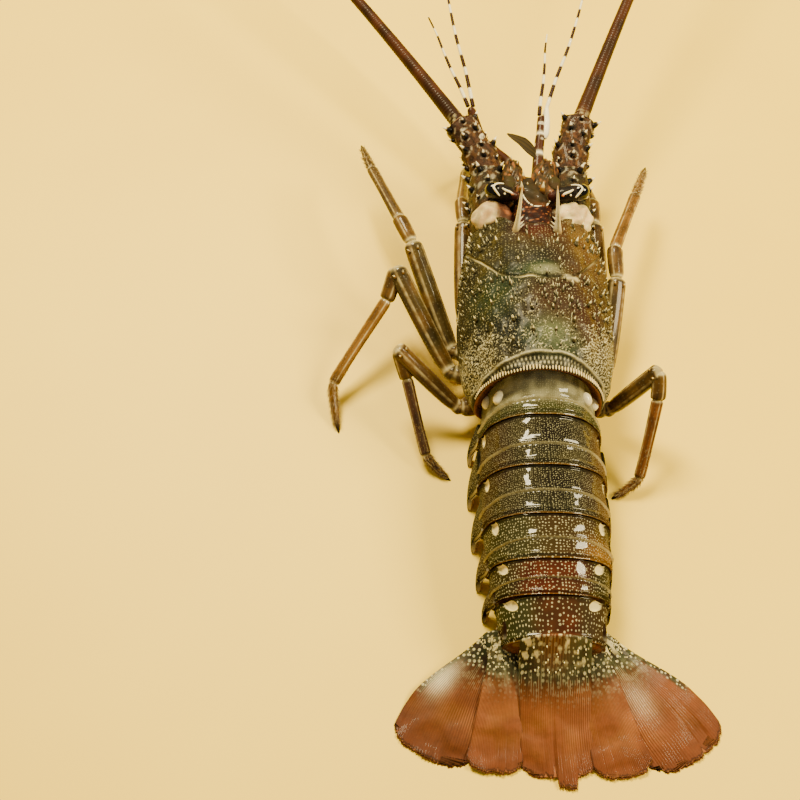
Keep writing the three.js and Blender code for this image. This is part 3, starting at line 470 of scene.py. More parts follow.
class Finish:
    """The nodes of one finish."""

    def __init__(self, name, constants):
        self.material = bpy.data.materials.new(name)
        self.material.use_nodes = True
        self.tree = self.material.node_tree
        self.shader = self.tree.nodes["Principled BSDF"]
        for label, value in constants.items():
            self.shader.inputs[label].default_value = value

    def node(self, kind, settings=None, sockets=None):
        """A node of a type, with its settings and then its sockets' values or links."""
        made = self.tree.nodes.new(kind)
        for label, value in (settings or {}).items():
            setattr(made, label, value)
        for label, value in (sockets or {}).items():
            socket = getattr(value, "socket", value)
            if isinstance(socket, bpy.types.NodeSocket):
                self.tree.links.new(socket, made.inputs[label])
            else:
                made.inputs[label].default_value = value
        return made

    def value(self, socket):
        """A number that takes arithmetic."""
        return Value(self, socket)

    def noise(self, where, scale, detail):
        """Soft random grey from 0 to 1."""
        made = self.node("ShaderNodeTexNoise", {}, {"Vector": where, "Scale": scale, "Detail": detail})
        return self.value(made.outputs["Fac"])

    def cells(self, where, scale, randomness):
        """Scattered cells over a surface, and the distance from their middles."""
        made = self.node("ShaderNodeTexVoronoi", {"voronoi_dimensions": "2D"},
                         {"Vector": where, "Scale": scale, "Randomness": randomness})
        return made, self.value(made.outputs["Distance"])

    def blend(self, mask, first, second, way="MIX"):
        """One colour over another where the mask is 1."""
        settings = {"data_type": "RGBA", "blend_type": way, "clamp_factor": True}
        return self.node("ShaderNodeMix", settings, {0: mask, 6: first, 7: second}).outputs[2]

    def feed(self, label, socket):
        """Links a socket to the shader."""
        self.tree.links.new(getattr(socket, "socket", socket), self.shader.inputs[label])


def rgba(values):
    """A colour with its fourth part."""
    return (*values, 1.0)


def shell_finish(name, roughness=0.3, coat=0.5, dot="speck", dot_size=0.27, grain=420, grain_depth=0.12,
                 mottle=0.5, pits=0.0, glow=0.0, coat_blur=0.05, sheen=0.1):
    """Wet horny shell: tints from the mesh, mottled, with dots, speckle, grain and gloss."""
    finish = Finish(name, {"Coat Roughness": coat_blur, "Specular IOR Level": sheen, "Coat IOR": 1.38,
                           "Subsurface Weight": glow,
                           "Subsurface Radius": (0.004, 0.002, 0.001), "Subsurface Scale": 0.5})
    tint, marks, lie = (
        finish.node("ShaderNodeAttribute", {"attribute_name": label}).outputs[output]
        for label, output in (("tint", "Color"), ("marks", "Vector"), ("lie", "Vector")))
    where = finish.node("ShaderNodeTexCoord").outputs["Object"]
    split = finish.node("ShaderNodeSeparateXYZ", {}, {"Vector": marks})
    dots, speckle, dull = (finish.value(split.outputs[index]) for index in range(3))

    coarse = finish.noise(where, grain * 0.45, 4)
    fine = finish.noise(where, grain * 3.2, 3)
    shade = coarse * mottle * 1.3 + fine * mottle * 0.7 + (1 - mottle)
    grey = finish.node("ShaderNodeCombineColor", {}, {"Red": shade, "Green": shade, "Blue": shade})
    ground = finish.blend(1.0, tint, grey.outputs["Color"], "MULTIPLY")

    cells, distance = finish.cells(lie, 1.0, 0.62)
    lot = finish.node("ShaderNodeSeparateColor", {}, {"Color": cells.outputs["Color"]})
    radius = (finish.value(lot.outputs[0]) * 0.6 + 0.6) * dot_size
    spot = ((radius - distance) * 9).clamped()
    spots = spot * dots

    warp = finish.noise(lie, 2.3, 2)
    shift = finish.node("ShaderNodeVectorMath", {"operation": "ADD"}, {0: lie, 1: warp.socket}).outputs[0]
    _, net_distance = finish.cells(shift, 1.9, 1.0)
    net = ((net_distance + speckle * 0.6 + fine * 0.6 - 1.3) * 5).clamped() * (speckle * 4).clamped()

    pattern = (spots + net).clamped()
    finish.feed("Base Color", finish.blend(pattern * 0.86, ground, rgba(colour(dot))))

    relief = spots * 0.5 + net * 0.35 + fine * grain_depth * 2 + coarse * grain_depth * 0.2
    if pits:
        relief = relief - (1 - (distance * 3.2).clamped()) * pits
    relief_node = finish.node("ShaderNodeBump", {}, {"Strength": 0.75, "Distance": 0.00022, "Height": relief})
    finish.feed("Normal", relief_node.outputs["Normal"])
    finish.feed("Roughness", (dull * 0.15 + coarse * 0.16 + (roughness - 0.08)).clamped())
    finish.feed("Coat Weight", (coat - dull * coat).clamped())
    return finish.material


def coated(ground, marks=(0, 0, 0), *coats):
    """A rule for a limb's paint. A coat is a colour and its strength, and then either the places
    between which it sets in, or the grain and the seed of its clouds."""
    def rule(place, around, spots):
        paint = Paint(spots, ground)
        for name, strength, *where in coats:
            paint.over(name, strength * (clouds(spots, *where) if where[1:] else fade(*where[0], place)))
        return paint.tint, marks
    return rule


# Carapace

HALF_WIDTHS = [(-10, 0.8), (-2, 0.93), (8, 0.98), (20, 1), (35, 0.99), (50, 0.93), (58, 0.85), (66, 0.7)]
vault_half_width = profile([(y, share * CARAPACE_HALF_WIDTH) for y, share in HALF_WIDTHS])
TOP_DROPS = [(-10, 3.6), (-4, 1.9), (5, 0.4), (14, 0), (24, 0.9), (38, 2.6), (50, 5.6), (66, 11)]
vault_top = profile([(y, CARAPACE_TOP - drop) for y, drop in TOP_DROPS])
vault_middle = profile([(-10, -0.6), (15, -0.5), (35, -0.3), (60, 0)])
CORNER_ANGLE = 54
front_edge = profile([(0, 0.6), (14, 0.8), (21, 3.2), (28, 5.6), (36, 8.2), (46, 10), (CORNER_ANGLE, 11.5),
                      (64, 8), (78, 9), (95, 8), (180, 5)])
groove_sweep = profile([(0, 0), (25, 2), (50, 14), (75, 25), (110, 28), (180, 20)])
HIND_BAND_MIDDLE, HIND_BAND_CURVE = -5.0, 0.0105
DASHES = 104
RECESS_FLOOR = -5.2
# Where the recess under the hind edge runs, from its floor out to the edge: y and depth under the skin
RECESS = [(RECESS_FLOOR - 1.5, 5.4), (RECESS_FLOOR - 2.6, 4.2), (RECESS_FLOOR - 3.4, 2.6),
          (CARAPACE_BACK + 0.6, 1.5), (CARAPACE_BACK - 0.1, 1.0), (CARAPACE_BACK - 0.35, 0.45)]


def round_the_body(upper, lower):
    """Angles all the way round from the belly, closer together over the back."""
    turn = math.radians(105)
    back = np.linspace(-turn, turn, upper)
    belly = np.linspace(turn, 2 * math.pi - turn, lower + 2)[1:-1]
    return np.concatenate([back, belly])


def vault_point(around, y, sink=0.0):
    """A point of the carapace's skin at an angle from the top."""
    rise, spread = cos(around), sin(around)
    half = vault_half_width(y) - sink
    upper = rise >= 0
    width = half * np.where(upper, spread, signed_power(spread, 0.5))
    height = (vault_top(y) - sink - CARAPACE_WAIST) * rise
    depth = -(CARAPACE_WAIST - CARAPACE_FOOT) * abs(rise) ** 0.7
    return vectors(vault_middle(y) + width, y, CARAPACE_WAIST + np.where(upper, height, depth))


def vault_y(around, place):
    """How far ahead a ring lies: 0 is the hind edge, 1 the cervical groove, 2 the front edge."""
    angle = off_the_top(around)
    groove = CERVICAL_GROOVE + groove_sweep(angle)
    front = CARAPACE_FRONT + front_edge(angle)
    behind = mix(CARAPACE_BACK, groove, np.minimum(place, 1))
    return behind + (front - groove) * np.maximum(place - 1, 0)


def hind_band(spots):
    """How far a point lies ahead of the front line of the hind band."""
    return spots[..., 1] - (HIND_BAND_MIDDLE - HIND_BAND_CURVE * spots[..., 0] ** 2)


def carapace_relief(around, place, spots):
    """Height of the carapace's relief over its plain vault."""
    over = np.clip(cos(around) * 3 + 0.6, 0, 1)
    groove = bump(place, 1, 0.022) - 0.15 * bump(place, 1.05, 0.03)
    band = hind_band(spots)
    sunken = fade(0.4, -0.8, band) * 0.5 - bump(band, 0.7, 0.6) * 0.2
    teeth = 0.3 * bump(spots[..., 1], CARAPACE_BACK + 0.9, 0.9)
    humps = (clouds(spots, 7, 3) - 0.5) * 0.6 + (clouds(spots, 2.1, 4) - 0.5) * 0.1
    fields = bump(off_the_top(around), 24, 7) * fade(1.08, 1.3, place) * 0.5
    humps = humps + 0.5 * bump(place, 2, 0.03)
    groove = groove * size("groove_depth") * (0.5 + 0.5 * clouds(spots, 12, 9))
    return over * (humps + fields - groove - sunken + teeth)


# Broad clouds of colour: name, strength, centre, radii
CARAPACE_CLOUDS = [
    ("dark", 0.75, (-11, 13, 42), (19, 13, 30)), ("dark", 0.5, (0, 40, 45), (8, 8, 10)),
    ("green", 0.85, (0.5, 27.5, 45), (6.5, 3, 9)), ("green", 0.75, (3, 1.5, 46), (8, 6, 9)),
    ("speck", 0.1, (3, 2, 46), (6, 5, 9)), ("green", 0.4, (-14, 20, 40), (8, 9, 12)),
    ("brown", 0.85, (17, 22, 38), (11, 20, 18)), ("brown", 0.5, (3, 15, 46), (9, 8, 9)),
    ("brown", 0.6, (5, 47, 42), (14, 8, 12)), ("dark", 0.4, (11, 17, 42), (7, 7, 9)),
    ("red", 0.55, (16, 13, 40), (5, 10, 16)), ("red", 0.85, (0, 49.5, 40), (7, 5, 9)),
    ("gold", 0.3, (18, 48, 34), (8, 13, 12)), ("dark", 0.6, (-20, 42, 34), (11, 15, 16)),
    ("dark", 0.5, (20, 16, 34), (9, 14, 14)),
]
# Cream spots on the carapace's sides: centre and radii
FLANK_SPOTS = [((-24, 22, 26), (2.2, 3.4, 2.4)), ((24.8, 21, 26), (2.2, 3.2, 2.4)),
               ((25.5, 3, 24), (2, 2.4, 2.4))]


def carapace_paint(around, place, spots):
    """Tint and marks of the carapace."""
    x, y = spots[..., 0], spots[..., 1]
    soft, small = clouds(spots, 16, 5), clouds(spots, 5, 6)
    band = hind_band(spots)
    under = fade(-0.1, -0.35, cos(around))
    paint = Paint(spots, "olive").over("dark", 0.35 + 0.8 * soft - 0.25 * small)
    for name, strength, centre, radii in CARAPACE_CLOUDS:
        paint.over(name, strength * near(spots, centre, radii, 1.2))
    pale_groove = bump(place, 1, 0.014) * (bump(x, -18, 4) + bump(x, -4.5, 2.6) + 0.4 * bump(x, 18, 3))
    # Painted shade: a dark line along the cervical groove
    paint.over("dark", 0.4 * bump(place, 1.01, 0.02))
    paint.over("speck", 0.25 * near(spots, (1.5, 27.5, 45), (4.5, 2, 9), 1.0))
    paint.over("cream", 0.8 * pale_groove * fade(95, 60, off_the_top(around)))
    paint.over("cream", 0.9 * near(spots, (9.6, 25, 45), (2.6, 1.4, 6), 0.7) * small)
    for centre, radii in FLANK_SPOTS:
        paint.over("cream", 0.9 * near(spots, centre, radii, 0.4))
    paint.over("speck", 0.85 * bump(band, 0.5, 0.35)).over("dark", 0.6 * fade(-0.2, -0.9, band))
    dash = fade(0, 0.7, cos(around * DASHES)) * bump(y, CARAPACE_BACK + 2.1, 0.55)
    dash = dash + fade(0.2, 0.9, cos(around * DASHES + 2)) * bump(y, CARAPACE_BACK + 3.6, 0.5)
    paint.over("speck", 0.8 * dash * fade(0, -1, band))
    paint.over("dark", 0.85 * fade(CARAPACE_BACK + 1.2, CARAPACE_BACK + 0.6, y))
    paint.over("olive", 0.6 * fade(1.96, 1.99, place)).over("underside", under)
    outer = fade(9, 24, abs(x))
    hind = fade(14, -4, y)
    pale_corner = near(spots, (23, 1, 28), (10, 12, 16), 1.2)
    pale_corner = pale_corner + 0.5 * near(spots, (-22, -2, 28), (9, 9, 14), 1.2)
    speckle = 0.2 + 0.5 * hind + 0.3 * outer * hind + 0.4 * (small - 0.5) + 0.85 * pale_corner
    speckle = np.clip(speckle, 0, 1)
    speckle *= fade(0.2, 1.2, band) * (1 - under) * (1 - 0.75 * fade(28, 40, y))
    dots = np.clip(0.2 + 0.5 * small - 0.3 * hind, 0, 1) * fade(0.2, 1.2, band) * (1 - under)
    flank = fade(0.8, 0.5, cos(around))
    return paint.tint, vectors(dots * 0.75, speckle, 0.95 * flank)


def carapace_skin(shape):
    """The vault with its recess, under whose edge the first somite lies."""
    around = round_the_body(252, 40)[None]
    place = np.concatenate([np.linspace(0, 0.3, 46), np.linspace(0.3, 0.94, 84)[1:],
                            np.linspace(0.94, 1.08, 26)[1:], np.linspace(1.08, 2, 96)[1:]])[:, None]
    y = vault_y(around, place)
    spots = vault_point(around, y)
    grown = spots + normals(spots) * carapace_relief(around, place, spots)[..., None]
    tint, marks = carapace_paint(around, place, grown)
    rim = []
    for back, sink in RECESS:
        shelf = vault_point(around, np.full_like(around, CARAPACE_BACK), sink)
        shelf[..., 1] = back
        rim.append(shelf)
    rim = np.concatenate(rim)
    inner = Paint(rim, "red").over("brown", 0.4 + 0.5 * clouds(rim, 5, 15))
    sides = fade(40, 65, off_the_top(around))
    inner.over("pink", np.array([0, 0, 0.1, 0.3, 0.5, 0.6])[:, None] * (0.2 + 0.5 * sides))
    spots = np.concatenate([rim, grown])
    tint = np.concatenate([inner.tint, tint])
    marks = np.concatenate([np.zeros_like(rim), marks])
    girth = sin(around / 2) * 2 * CARAPACE_HALF_WIDTH
    lie = vectors(girth / 1.15, spots[..., 1] / 1.15, 0.0)
    shape.grid(spots, tint, marks, lie)


def on_the_vault(around, place, lean):
    """Foot and leaning direction of things that stand on the carapace."""
    y = vault_y(around, place)
    foot = vault_point(around, y)
    along = unit(vault_point(around, y + 1) - vault_point(around, y - 1))
    across = unit(vault_point(around + 0.02, y) - vault_point(around - 0.02, y))
    return foot, unit(np.cross(across, along) + along * lean)


# Rows of spines: angle from the top in degrees, places along the carapace and length
SPINE_ROWS = [
    (15, (1.6, 1.25), 2.0), (32, (1.85, 1.5), 2.6), (47, (1.82, 1.5, 1.25), 2.4),
    (63, (1.72, 1.45, 1.2, 0.92), 2.3), (8, (0.84, 0.6, 0.36), 1.5), (22, (0.9, 0.7, 0.48, 0.28), 1.7),
    (37, (0.86, 0.62, 0.4), 1.7), (53, (0.88, 0.68, 0.46, 0.28), 1.8), (70, (0.8, 0.58, 0.36), 1.6),
]


def spine_stops(root, middle, tip):
    """The outline and colours of a stout spine with a pale tip."""
    shoulder, neck = mix(colour(root), colour(middle), 0.5), mix(colour(middle), colour(tip), 0.8)
    return [(0, 1, root), (0.15, 0.86, shoulder), (0.35, 0.64, middle), (0.55, 0.45, neck),
            (0.85, 0.18, tip), (1, 0.04, tip)]


def carapace_spines(shape):
    """Rows of stout spines, and the small knobs between them, all leaning forward."""
    rng = np.random.default_rng(11)
    for angle, places, length in SPINE_ROWS:
        for side in SIDES.values():
            for place in places:
                around = side * math.radians(angle + rng.uniform(-1, 1))
                foot, way = on_the_vault(around, place, 0.9)
                tall = length * rng.uniform(0.9, 1.08)
                shape.cones(foot, way, tall, 0.25 * tall + 0.2,
                            spine_stops("olive", "olive", "cream"), sides=12, sunk=0.35)
    number = bpy.context.scene.lobster_sizes.tubercles
    around = np.radians(rng.uniform(-82, 82, number))
    place = np.concatenate([rng.uniform(0.16, 0.97, number * 3 // 4),
                            rng.uniform(1.04, 1.93, number - number * 3 // 4)])
    foot, way = on_the_vault(around, place, 1.5)
    tall = size("tubercle_height") * (0.32 + 0.68 * rng.random(number) ** 2.2)
    tall *= mix(0.7, 1, fade(0.25, 0.55, place))
    stops = [(0, 1, "olive"), (0.5, 0.7, mix(colour("olive"), colour("speck"), 0.5)),
             (0.8, 0.42, "speck"), (1, 0.1, "cream")]
    shape.cones(foot, way, tall * 1.7, 0.3 * tall + 0.08, stops, sides=6, sunk=0.5)


def hind_beads(shape):
    """The toothed rim along the hind edge of the carapace."""
    around = np.radians(np.linspace(-78, 78, 58))
    foot = vault_point(around, np.full_like(around, CARAPACE_BACK + 0.5), 0.1)
    rim = mix(colour("pink"), colour("cream"), 0.8)
    stops = [(0, 1, rim), (0.4, 0.95, rim), (0.75, 0.7, "cream"), (1, 0.25, "cream")]
    shape.cones(foot, (0, -1, 0.1), 0.9, 0.27, stops, sides=7, sunk=1.0)


def horn(shape, side):
    """The horn over an eye."""
    x, y, depth, length = 7.1, 47.5, 3.5, 18
    foot = mirrored((x, y, vault_top(y) - depth), side)
    way = heading(side, -10, 65)
    tip = foot + way * length
    path = Path([foot, (foot + tip) / 2 + (0, -1, 0.6), tip])
    rings = [(0, 2.6, 3.6), (0.25, 1.5, 2.5), (0.6, 0.9, 1.6), (1.1, 0.65, 1.1), (1.6, 0.42, 0.65),
             (2, 0.08, 0.1)]

    def horn_paint(place, around, spots):
        inner = fade(0.4, 0.8, -side * sin(around)) * fade(0.3, 0.6, place)
        paint = Paint(spots, "gold").over("cream", 0.75 * fade(0.15, 0.6, place)).over("white", 0.9 * inner)
        return paint.over("pink", 0.6 * fade(1.7, 1.9, place)).tint, (0, 0, 0.1)

    shape.tube(path, rings, horn_paint, sides=24, steps=36)
    at, way, across, _ = path.at([0.35, 0.5, 0.72])
    inward = side * across
    shape.cones(at - inward * 0.5 - UP * 0.4, way * 0.5 - inward + (0, 0.8, 0), [2.8, 2.4, 1.8], 0.5,
                spine_stops("pink", "white", "white"), sides=9)


def corner_spine(shape, side):
    """The spine at a front corner of the carapace."""
    around = side * math.radians(CORNER_ANGLE)
    foot = vault_point(around, vault_y(around, 2) - 3, 1)
    tip = foot + heading(side, -4, 14) * 9
    rings = [(0, 2.2, 2.2), (0.5, 1.35, 1.35), (0.8, 0.7, 0.7), (1, 0.08, 0.08)]
    paint = coated("olive", (0, 0, 0.1), ("gold", 0.5, (0.2, 0.6)), ("cream", 1, (0.6, 0.95)))
    shape.tube(Path([foot, tip]), rings, paint, sides=16, steps=20)


# Abdomen

# Each somite: hind end, share of its groove, drop of the top, how much narrower, spacing and strength of
# the dots, and how dark
Somite = namedtuple("Somite", "end groove drop narrower spacing dotted dark")
SOMITES = [Somite(*values) for values in (
    (-21.6, 0.66, 1.2, 0.5, 0.6, 0.6, 0.05), (-38, 0.55, 3.5, 0, 0.57, 0.65, 0.7),
    (-53.3, 0.5, 5.5, 0.5, 0.6, 0.65, 0.72), (-66.6, 0.52, 8, 1.5, 0.92, 0.85, 0.25),
    (-76.8, 0.5, 10.6, 3, 1.02, 0.9, 0.45), (-88, 0, 17, 5.3, 1.4, 1, 0.2))]
LAST = len(SOMITES) - 1
tail_middle = profile([(-88, 1.2), (-60, 0.8), (-30, 0), (ABDOMEN_FRONT, 0)])
# Cream ovals of each somite: angle on the left and on the right in degrees, share, half length, half width
SIDE_OVALS = [
    [], [(-70, 70, 0.1, 2.4, 1.3)], [(-65, 67, 0.1, 2.3, 1.6)],
    [(-57, 53, 0.13, 2.1, 1.8)], [(-53, 47, 0.14, 1.55, 2.6)], [(-49, 44, 0.11, 1.45, 3.5)],
]
# Red patches of the hind somites: half width, middle and strength
RED_PATCHES = {3: (16, 6, 0.3), 4: (14, 0.5, 0.95), 5: (9, 1.5, 0.85)}
# How a somite's hind edge turns under: how far ahead of the edge, and how deep
FOLDS = [(0.2, 0.5), (0.6, 1.1), (0.1, 2.2)]
LAST_FOLDS = [(0.1, 0.5), (0, 0.9), (-0.5, 1.6), (-1.2, 3.4)]


def somite_start(index):
    """Where a somite begins, in front."""
    return ABDOMEN_FRONT if index == 0 else SOMITES[index - 1].end


def somite_size(index, share):
    """Height and half width of a somite's back at a share of its length."""
    top, half = ABDOMEN_TOP - SOMITES[index].drop, ABDOMEN_HALF_WIDTH - SOMITES[index].narrower
    if index == 0:
        raised = fade(0.62, 0.15, share)
        before, before_half = ABDOMEN_TOP + 3.4 * raised, half - 3 + 1.6 * raised
    else:
        before = ABDOMEN_TOP - SOMITES[index - 1].drop - 0.8
        before_half = ABDOMEN_HALF_WIDTH - SOMITES[index - 1].narrower - 0.8
    return mix(before, top, share), mix(before_half, half, share)


def somite_point(index, around, share):
    """A point of a somite's skin at an angle from the top."""
    top, half = somite_size(index, share)
    y = mix(somite_start(index), SOMITES[index].end + 0.15, share)
    y = y + 1.2 * sin(around) ** 2 * (index < LAST)
    rise = cos(around)
    upper = (top - ABDOMEN_WAIST) * abs(rise) ** 0.9
    lower = (ABDOMEN_FOOT - ABDOMEN_WAIST) * abs(rise) ** 0.6
    width = half * signed_power(sin(around), 0.85)
    return vectors(tail_middle(y) + width, y, ABDOMEN_WAIST + np.where(rise >= 0, upper, lower))


def groove_place(index, around):
    """Where a somite's groove runs: it bows back towards the sides."""
    return SOMITES[index].groove + 0.15 * sin(around) ** 2


def side_ovals(index, around, share):
    """The cream ovals on both sides of a somite, 1 in their middle."""
    length = somite_start(index) - SOMITES[index].end
    turned = (around + math.pi) % (2 * math.pi) - math.pi
    marks = 0.0 * around * share
    for left, right, place, half_length, half_width in SIDE_OVALS[index]:
        for angle in (left, right):
            across = (turned - math.radians(angle)) * ABDOMEN_HALF_WIDTH * 0.95
            along = (share - place) * length + 0.25 * across * np.sign(angle)
            away = np.sqrt((across / half_width) ** 2 + (along / half_length) ** 2)
            marks = np.maximum(marks, fade(1.12, 0.88, away))
    return marks


def somite_relief(index, around, share, spots):
    """Height of a somite's relief over its plain vault."""
    over = np.clip(cos(around) * 3 + 0.6, 0, 1)
    relief = (clouds(spots, 8, 20 + index) - 0.5) * 0.25 + (clouds(spots, 2.6, 30 + index) - 0.5) * 0.05
    relief = relief + 0.3 * fade(0.9, 0.97, share) - 0.35 * bump(share, 0.885, 0.03)
    if SOMITES[index].groove:
        groove = groove_place(index, around)
        scallop = 0.5 + 0.5 * cos(around * (84 + 4 * index))
        relief = relief - 0.6 * bump(share, groove, 0.02) - 0.25 * bump(share, groove, 0.09)
        relief = relief + 0.22 * scallop * bump(share, groove + 0.032, 0.018)
        relief = relief + 0.2 * bump(share, groove - 0.05, 0.03)
    ends = 0.5 * fade(0.03, 0, share) + 0.5 * fade(0.985, 1, share)
    return over * (relief - ends) + 0.7 * side_ovals(index, around, share)


def somite_paint(index, around, share, spots):
    """Tint and marks of a somite."""
    x = spots[..., 0]
    soft, small = clouds(spots, 14, 40), clouds(spots, 4, 41)
    under = fade(-0.15, -0.4, cos(around))
    paint = Paint(spots, "olive").shade(0.95).over("dark", SOMITES[index].dark * (0.55 + 0.6 * soft))
    if index == 0:
        paint.over("green", 0.12 + 0.25 * small)
        paint.over("speck", 0.5 * fade(0.8, 0.6, share) * (0.4 + 0.6 * small))
    if index in (1, 2):
        front = mix(somite_start(index), SOMITES[index].end, 0.32)
        paint.over("black", 0.7 * near(spots, (2.5, front, 36), (8, 5.5, 9), 1.0))
        paint.over("brown", 0.4 * fade(6, 16, abs(x)) * soft).over("gold", 0.25 * fade(13, 19, x))
    if index in RED_PATCHES:
        wide, middle, strength = RED_PATCHES[index]
        red = fade(wide, wide * 0.4, abs(x - middle)) * (0.6 + 0.4 * soft)
        paint.over("red", strength * red).over("rust", 0.22 * red * small * (index > 3))
    if index == 3:
        paint.over("gold", 0.6 * fade(6, 15, x) * fade(0.2, 0.8, share))
        paint.over("green", 0.15 * fade(4, -10, x))
    if index == LAST:
        paint.over("green", 0.25 * fade(-1, -12, x)).over("purple", 0.4 * fade(6, 12, x))
    if SOMITES[index].groove:
        groove = groove_place(index, around)
        side = fade(10, 60, off_the_top(around))
        paint.over("cream", 0.5 * bump(share, groove + 0.018, 0.014) * (0.45 + 0.45 * side + 0.3 * small))
        # Painted shade: a dark line along the front wall of the groove
        paint.over("black", 0.4 * bump(share, groove - 0.012, 0.012))
    # Gold hind margin; painted shadow darkens the front edge, where it slides under the somite before it
    paint.over("gold", 0.45 * fade(0.95, 0.98, share)).over("black", 0.35 * fade(0.045, 0, share))
    ovals = side_ovals(index, around, share)
    paint.over("cream", fade(0.05, 0.4, ovals)).over("underside", under)
    dots = (1 - ovals) * (1 - under) * fade(0.0, 0.06, share) * SOMITES[index].dotted
    dots = dots * (0.7 + 0.3 * small)
    flank = fade(0.84, 0.62, cos(around))
    return paint.tint, vectors(dots, 0.0, np.maximum(0.95 * flank, 0.2 * ovals))


def somite_shell(shape, index):
    """The arch of a somite. Its hind edge turns under; on the last one soft skin runs on to the telson."""
    spacing = SOMITES[index].spacing
    around = round_the_body(236, 40)[None]
    share = np.linspace(0, 1, 72)[:, None]
    spots = somite_point(index, around, share)
    outward = -normals(spots[::-1])[::-1]
    spots = spots + outward * somite_relief(index, around, share, spots)[..., None]
    tint, marks = somite_paint(index, around, share, spots)
    last = index == LAST
    centre = (tail_middle(SOMITES[index].end), 0, ABDOMEN_WAIST)
    edge = spots[-1]
    for ahead, sink in LAST_FOLDS if last else FOLDS:
        row = edge - unit((edge - centre) * (1, 0, 1)) * sink
        row[:, 1] = edge[:, 1] + ahead
        skin = Paint(row, "brown").over("rust", 0.5 * clouds(row, 3, 45) * last)
        skin.over("red", 0.5 * (not last))
        spots, tint = np.concatenate([spots, row[None]]), np.concatenate([tint, skin.tint[None]])
        marks = np.concatenate([marks, np.zeros_like(row)[None] + (0, 0, 0.3)])
    girth = sin(around / 2) * 2 * ABDOMEN_HALF_WIDTH
    lie = vectors(girth / spacing, spots[..., 1] / spacing + 7.3 * index, 0.0)
    shape.grid(spots[::-1], tint[::-1], marks[::-1], lie[::-1])


def pleuron_outline(index):
    """The outline of a side plate, drawn out into a hook that points back: y and z."""
    end = SOMITES[index].end
    top = ABDOMEN_WAIST + 4
    front = min(somite_start(index) - 1.2, CARAPACE_BACK - 3)
    back, tip = end + 1.5, end + 1.8
    share = np.linspace(0, 1, 26, endpoint=False)[:, None]

    def bow(start, control, finish):
        return start * (1 - share) ** 2 + 2 * control * share * (1 - share) + finish * share**2

    corners = [np.array(corner, float) for corner in (
        (front, top), (front - 0.5, 5), (tip + 2.6, 0.1), (tip, 0.1), (tip + 0.4, 2.5), (tip + 1.8, 4.5),
        (back + 1.6, 8), (back, top), (mix(front, back, 0.5), top + 3))]
    foot = mix(corners[2], corners[3], share[::6])
    hook_hind_and_top = [bow(*(corners[(first + step) % 9] for step in range(3))) for first in (3, 5, 7)]
    return np.concatenate([bow(*corners[:3]), foot, *hook_hind_and_top])


def pleuron(shape, index, side):
    """A side plate: rounded, with a pale margin and small teeth on its hind edge."""
    end, narrower, spacing = SOMITES[index].end, SOMITES[index].narrower, SOMITES[index].spacing
    outline = pleuron_outline(index)
    centre = np.array([mix(somite_start(index), end, 0.62), 9.5])
    lean = 0.08
    flare = 1.3 if side < 0 else 0.4
    reach = ABDOMEN_HALF_WIDTH - narrower - 1.8 + 0.1 + lean * 16
    rings = [(0.05, 1), (0.35, 1), (0.62, 1), (0.82, 0.96), (0.93, 0.78), (0.985, 0.5), (1, 0.2),
             (1, -0.2), (0.985, -0.5), (0.93, -0.78), (0.7, -1), (0.05, -1)]
    rows = []
    for share, level in rings:
        flat = centre + (outline - centre) * share
        x = side * (reach + 0.9 + level * 0.9 + 0.5 * (1 - share)) + tail_middle(end)
        x = x - side * lean * flat[:, 1] + side * flare * fade(14, 2, flat[:, 1])
        rows.append(vectors(x, flat[:, 0], np.maximum(flat[:, 1], 0.02)))
    spots = np.array(rows)
    share = np.array([ring[0] for ring in rings])[:, None]
    outer = np.array([ring[1] for ring in rings])[:, None]
    paint = Paint(spots, "olive").over("dark", 0.6 + 0.4 * clouds(spots, 6, 60 + index))
    paint.over("red", 0.3 * (index > 2)).shade(0.6)
    hind = fade(0.7, 0.95, (somite_start(index) - spots[..., 1]) / (somite_start(index) - end))
    paint.over("white", 0.95 * fade(0.84, 0.94, share) * fade(18, 13, spots[..., 2]) * hind)
    paint.over("underside", fade(-0.2, -0.6, outer))
    # Painted shade: the outer face turns black close to the floor, where the plate meets it
    low = bump(spots[..., 2], 0, 1.6)
    paint.over("black", 0.75 * low * (outer > 0))
    lie = vectors(spots[..., 1], spots[..., 2], 0.0) / max(spacing, 0.95)
    dots = np.clip(outer, 0, 1) * fade(0.97, 0.85, share) * 0.7
    marks = vectors(dots, 0.0, 0.95)
    order = slice(None, None, -side)
    shape.grid(spots[:, order], paint.tint[:, order], marks[:, order], lie[:, order])
    back = outline[len(outline) * 5 // 9::3][:9]
    feet = vectors(side * (reach + 0.9) + tail_middle(end), back[:, 0], back[:, 1])
    feet[:, 0] += side * (flare * fade(14, 2, feet[:, 2]) - lean * feet[:, 2])
    feet = feet[(feet[:, 2] > 3) & (feet[:, 2] < 15)]
    if len(feet):
        shape.cones(feet, (0.25 * side, -1, -0.5), 0.9, 0.42, spine_stops("dark", "brown", "cream"),
                    sides=8, sunk=0.6)


def knob(shape, centre, side):
    """A smooth cream knob on the flank of the first somite, against the carapace."""
    rings = [(0, 0.5, 0.5), (0.25, 1.5, 1.4), (0.6, 1.8, 1.6), (0.9, 1.15, 1.1), (1, 0.3, 0.3)]
    way = mirrored((1.1, -1.9, -1), side)
    centre = centre + (-0.4 * side, 1.4, 0.5)
    shape.tube(Path([centre - way, centre + way]), rings, coated("white", (0, 0, 0.2)), steps=16)


def somite_side(shape, index, side):
    """What a somite carries on one side: its side plate, and a swimmeret or two knobs."""
    pleuron(shape, index, side)
    if 0 < index < LAST:
        swimmeret(shape, index, side)
    if index == 0:
        for angle, share in ((46, 0.56), (66, 0.44)):
            knob(shape, somite_point(0, side * math.radians(angle), share), side)


